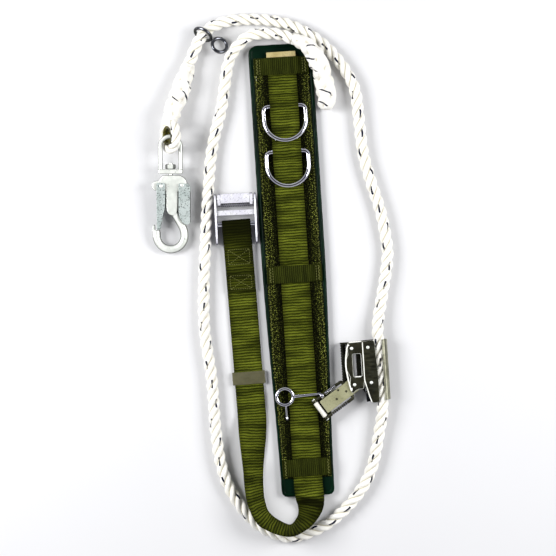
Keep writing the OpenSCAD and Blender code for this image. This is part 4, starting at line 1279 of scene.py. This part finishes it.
GRAB = Place((118.5, -158, 13.5))
FRONT_Z = 9.8
REAR_Z = -13.0
PLATE = 2.5
rear = rounded(
    [(-47, 45), (-5, 47), (0, 47), (0, -43), (-16, -46), (-28, -25), (-36, -25), (-44, -31), (-49.5, -9),
        (-51, 18)], 3)
rear_window = rounded([(-41, -6), (-25, -6), (-25, 28), (-41, 28)], 2)
back_plate = windowed_plate(rear, rear_window, REAR_Z, REAR_Z + PLATE, GRAB, 0.5, 200)
lugs = []
for y in (-14.5, 42.5):
    lugs.append(prism([(-57, y), (-45, y), (-45, y + 2.5), (-57, y + 2.5)], REAR_Z, REAR_Z + 12.4, GRAB))
build("grab_back_plate", [back_plate] + lugs, "grab", DARK_PLATE, ["grab_shell"])
a = np.radians(np.linspace(-96, 68, 50))[:, None]
y = np.linspace(-43, 47, 60)[None]
wall = np.stack([11.75 * np.cos(a) + 0 * y, y + 0 * a, 11.75 * np.sin(a) + 0 * y], -1)
curved_sheet("grab_channel_wall", GRAB.put(wall), 2.5, "grab", STREAKED, [], 0.6)
a = np.radians(np.linspace(215, 152, 13))
curved = np.stack([-20 + 31 * np.cos(a), 12 + 31 * np.sin(a)], -1)
straight = [(-47, 45), (-24.6, 45.6), (-24.6, -12), (-26.5, -24.5), (-35.5, -24.7), (-44, -31), (-47, -20)]
front = rounded(np.vstack([straight, curved]), [3, 0.6, 3, 2, 3, 2.5, 4] + [1] * 13)
window = rounded([(-40.5, -6), (-28, -6), (-28, 28), (-40.5, 28)], 2.4)
FRONT_TOP = FRONT_Z + PLATE
front_sheet = windowed_plate(front, window, FRONT_Z, FRONT_TOP, GRAB, 0.9, 240)
front_plate = build("grab_front_plate", [front_sheet], "grab", DARK_PLATE, ["grab_front"])
brighten_edges(front_plate, EDGE_HIGHLIGHT)
door = rounded(
    [(-24.2, 45.6), (-7, 46.8), (-4.4, 8), (-3.8, -15), (-4.4, -43), (-6, -46), (-15, -46), (-23, -28),
        (-24.2, -12)],
    [1, 4, 20, 8, 3, 2, 3, 6, 6])
door_plate = cut_plate(
    "grab_door_plate", door, FRONT_Z, FRONT_TOP, GRAB, "grab", DARK_PLATE, ["grab_door"], 0.9)
brighten_edges(door_plate, EDGE_HIGHLIGHT)
# bright beads along the grab plates' edges: painted highlights
rim_z = FRONT_TOP - 0.55
rims = []
for line, r in (
    (rounded([(-45.2, 44.6), (-48.2, 36), (-50.6, 20), (-51.2, 8), (-48.6, -12), (-44.2, -30.2)], 8), 1.15),
    ([(-44.5, 45.3), (-26, 45.9)], 0.9), ([(-24.5, 44), (-24.5, -12), (-18.5, -36), (-15.6, -45)], 0.85),
    ([(-38, -6.2), (-29.5, -6.2)], 0.9),
):
    line = np.asarray(line, float)
    spots, _ = evenly(np.column_stack([line, np.full(len(line), rim_z)]), 1.0)
    rims.append(tube(GRAB.put(spots), r, 12, up=GRAB.turn[:, 2]))
build("grab_plate_rims", rims, "grab", EDGE_HIGHLIGHT, sharp=180)
# dark block under the window's right half: painted shade seen through the window
window_shade_block = rounded([(-34.5, -7.4), (-25.2, -7.4), (-25.2, 29), (-34.5, 29)], 0.5)
build("grab_window_shade_block", [prism(window_shade_block, -10.3, 8.6, GRAB)], "grab", DARK_SPINE_AND_SHADE)
ribs = []
for n in range(14):
    low = n * 54.2 / 14
    ribs += [(3.1, low), (3.7, low + 0.6), (4.0, low + 1.3), (4.0, low + 2.5), (3.7, low + 3.2)]
ribs.append((3.1, 54.2))
spine = turned(ribs, GRAB.inside((-53, -11.9, -4.8), turn_x(-90)), 32)
build("grab_ribbed_spine", [spine], "grab", DARK_SPINE_AND_SHADE, ["grab_spine"], sharp=35)
RIVETS = [(-41, 36.3), (-16.8, 36.4), (-14.8, -16)]
TOP_Z = FRONT_TOP + 1.2
for name, node, spots in (
    ("grab_rivet_set", "grab_rivets", RIVETS), ("grab_link_rivet", "link_pin", [(-39.8, -17.6)]),
):
    build(name, [rivet(p, REAR_Z, TOP_Z, 2.3, GRAB, 1.1) for p in spots], "grab", ZINC, [node])
spacer = rounded([(-46, 30), (-30, 30), (-30, 42), (-46, 42)], 1.5)
cut_plate(
    "grab_spacer_block", spacer, -10.5, 9.8, GRAB, "grab", DARK_PLATE, ["grab_block"], 0.5)
cam_shape = rounded(
    [(-4.5, 12), (1, 14), (3.5, 11), (4.6, 8), (3.8, 5), (5, 2), (4.2, -1), (4.6, -4), (1, -9), (-2, -28),
        (-8, -29), (-9.5, -12), (-7.5, 0)], 0.8)
CAM_PIVOT = GRAB.inside((-14.8, -16, 0))
cut_plate(
    "grab_toothed_cam", cam_shape, -6, 6, CAM_PIVOT, "grab_cam", DULL_STEEL, ["grab_cam"], 0.5)

# ---------------------------------------------------------------- link and eye

LINK = Place((78.7, -175.6, 18.8), turn_z(213))
SIDE = 15.3
FAR = 63.0
shackle_line = np.vstack([
    [(FAR, -SIDE, 0), (16, -SIDE, 0)], arc_line((16, -SIDE + 3, 0), 3, -90, -180, 6)[1:],
    arc_line((16, SIDE - 3, 0), 3, 180, 90, 6), [(FAR, SIDE, 0)]])
shackle = [bent_bar(shackle_line, 2.4, LINK)]
beads = []
for s in (-1, 1):
    ribbed = []
    for n in range(9):
        at = 24 + n * 2.2 if s < 0 else 24 + n * 3.4
        ribbed += [(2.3, at), (2.9, at + 0.4), (2.9, at + 1.3), (2.3, at + 1.7)]
    beads.append(turned(ribbed, LINK.inside((0, s * SIDE, 0), ACROSS), 24))
    eye = [(2.4, -2), (3.6, -1.9), (4.0, -1.4), (4.0, 1.4), (3.6, 1.9), (2.4, 2)]
    shackle.append(turned(eye, LINK.inside((FAR, s * SIDE, 0), turn_x(90)), 28))
build("link_shackle_bar", shackle, "link", DARK_PLATE, ["link_shackle"], sharp=45)
build("link_ribbed_bars", beads, "link", CHROME, sharp=45)
leaf = rounded(
    [(-1, 10.5), (-6, 6), (-7.4, 0), (-6, -6), (3, -7.2), (3.2, -10.5), (57, -10.5), (57, 10.5)],
    [4, 4, 4, 3, 1, 1.5, 2, 2])
sleeve = [prism(leaf, z, z + 1.6, LINK) for z in (2.5, -4.1)]
sleeve.append(prism(rounded([(-4, -6.5), (21, -9.5), (21, 9.5), (-4, 6.5)], 2), -3, 3, LINK))
for side in (-1, 1):
    wall = [(22, side * 10.5), (56.5, side * 10.5), (56.5, side * 9.3), (22, side * 9.3)]
    sleeve.append(prism(wall, -3, 3, LINK))
soften(build("link_sleeve_plate", sleeve, "link", KHAKI, ["link_sleeve"]), 0.5)
dimples = [rivet(p, 3.2, 4.45, 1.5, LINK) for p in ((24.7, -8.0), (16, 0.5), (34, 1.5))]
build("link_sleeve_rivets", dimples, "link", DARK_PLATE)
half_roll = SIDE - 2.8
roll = [(2.6, -half_roll), (3.5, -half_roll + 0.3), (3.7, -half_roll + 1), (3.45, 0), (3.7, half_roll - 1),
    (3.5, half_roll - 0.3), (2.6, half_roll)]
AXLE = LINK.inside((FAR, 0, 0), turn_x(90))
pin = [(1.4, -18.7), (2.0, -18.2), (2.0, 18.2), (1.4, 18.7)]
heads = []
for z in (-17.8, 17.8):
    heads.append(turned([(1.9, z - 0.9), (2.9, z - 0.6), (2.9, z + 0.6), (1.9, z + 0.9)], AXLE, 24))
build("link_roller_sleeve", [turned(roll, AXLE, 32)], "link", ROLLER, ["link_roller"], sharp=50)
build("link_roller_pin", [turned(pin, AXLE, 24)] + heads, "link", ZINC, sharp=50)
EYE_Z = LINK.spot[2]
ring_line = arc_line((-25.8, -187.6, EYE_Z), 12.2, 0, 360, 96)[:-1]
eye_ring = tube(ring_line, 2.5, 22, True)
rod_line, rod_at = evenly(np.array([(27.5, -186.1, EYE_Z), (-13.8, -188.0, EYE_Z)]), 0.7)
taper = 1.6 + 1.0 * rod_at / rod_at[-1] + 0.8 * ease((rod_at - rod_at[-1] + 5) / 5)
eye_rod = tube(rod_line, taper, 22)
collar = [(2.5, -2.5), (3.9, -2.2), (4.2, -1.5), (4.2, 1.5), (3.9, 2.2), (2.5, 2.5)]
knuckle = turned(collar, LINK.inside((49, -SIDE, 0), ACROSS), 28)
build("eye_ring_and_rod", [eye_ring, eye_rod, knuckle], "eye", CHROME, ["eye_rod"], sharp=60)
tail_line, tail_at = evenly(np.array([(-25.2, -200.6, EYE_Z), (-24.4, -222, 17.1)]), 0.5)
bead = np.abs(tail_at - (tail_at[-1] - 2))
tail_radius = np.maximum(1.5 + 1.2 * ease((3 - tail_at) / 3), np.sqrt(np.clip(4.2 - bead**2, 0, None)))
build("eye_tail_rod", [tube(tail_line, tail_radius, 18)], "eye", CHROME, ["eye_tail"], sharp=60)

# ---------------------------------------------------------------- floor, light and finish

FLOOR_SIZE = 8.0
FLOOR_Z = -0.0006


def floor_paint():
    """Pale sheet: near white, very slightly mottled."""
    p = Paint("floor white", rgb("#f6f6f7"), 0.9)
    p.set("Base Color", p.mix(p.noise(p.place(), 3.0, 2.0), rgb("#dadadb"), rgb("#d6d6d8")))
    return p.material


def make_floor():
    """Square sheet just under the object."""
    h = FLOOR_SIZE / 2
    mesh = bpy.data.meshes.new("floor")
    corners = [(-h, -h, FLOOR_Z), (h, -h, FLOOR_Z), (h, h, FLOOR_Z), (-h, h, FLOOR_Z)]
    mesh.from_pydata(corners, [], [(0, 1, 2, 3)])
    mesh.materials.append(floor_paint())
    floor = bpy.data.objects.new("floor", mesh)
    bpy.context.scene.collection.objects.link(floor)


def area_light(name, spot, watts):
    """Square soft light at a spot, turned to face the middle of the object."""
    data = bpy.data.lights.new(name, "AREA")
    data.size = 0.9
    data.energy = watts
    light = bpy.data.objects.new(name, data)
    light.location = spot
    x, y, z = spot
    light.rotation_euler = (math.atan2(math.hypot(x, y), z), 0, math.atan2(x, -y))
    bpy.context.scene.collection.objects.link(light)


def make_world():
    """Surroundings that are dark overhead and bright at the sides, so that metal and vinyl keep contrast."""
    world = bpy.data.worlds.new("room")
    world.use_nodes = True
    tree = world.node_tree
    direction = tree.nodes.new("ShaderNodeTexCoord").outputs["Generated"]
    height = tree.nodes.new("ShaderNodeSeparateXYZ")
    tree.links.new(direction, height.inputs[0])
    ramp = tree.nodes.new("ShaderNodeValToRGB")
    tree.links.new(height.outputs[2], ramp.inputs[0])
    stops = ((0.0, 0.75), (0.35, 1.0), (0.74, 0.75), (0.95, 0.10), (1.0, 0.04))
    while len(ramp.color_ramp.elements) < len(stops):
        ramp.color_ramp.elements.new(0.5)
    for element, (spot, level) in zip(ramp.color_ramp.elements, stops):
        element.position = spot
        element.color = (level * 0.97, level * 0.98, level * 1.03, 1)
    background = tree.nodes["Background"]
    tree.links.new(ramp.outputs[0], background.inputs["Color"])
    background.inputs["Strength"].default_value = 0.55
    bpy.context.scene.world = world


make_floor()
area_light("left light", (-1.35, 0.35, 1.25), 35)
area_light("right light", (1.35, 0.15, 1.25), 28)
make_world()
bpy.context.scene.view_settings.view_transform = "Standard"
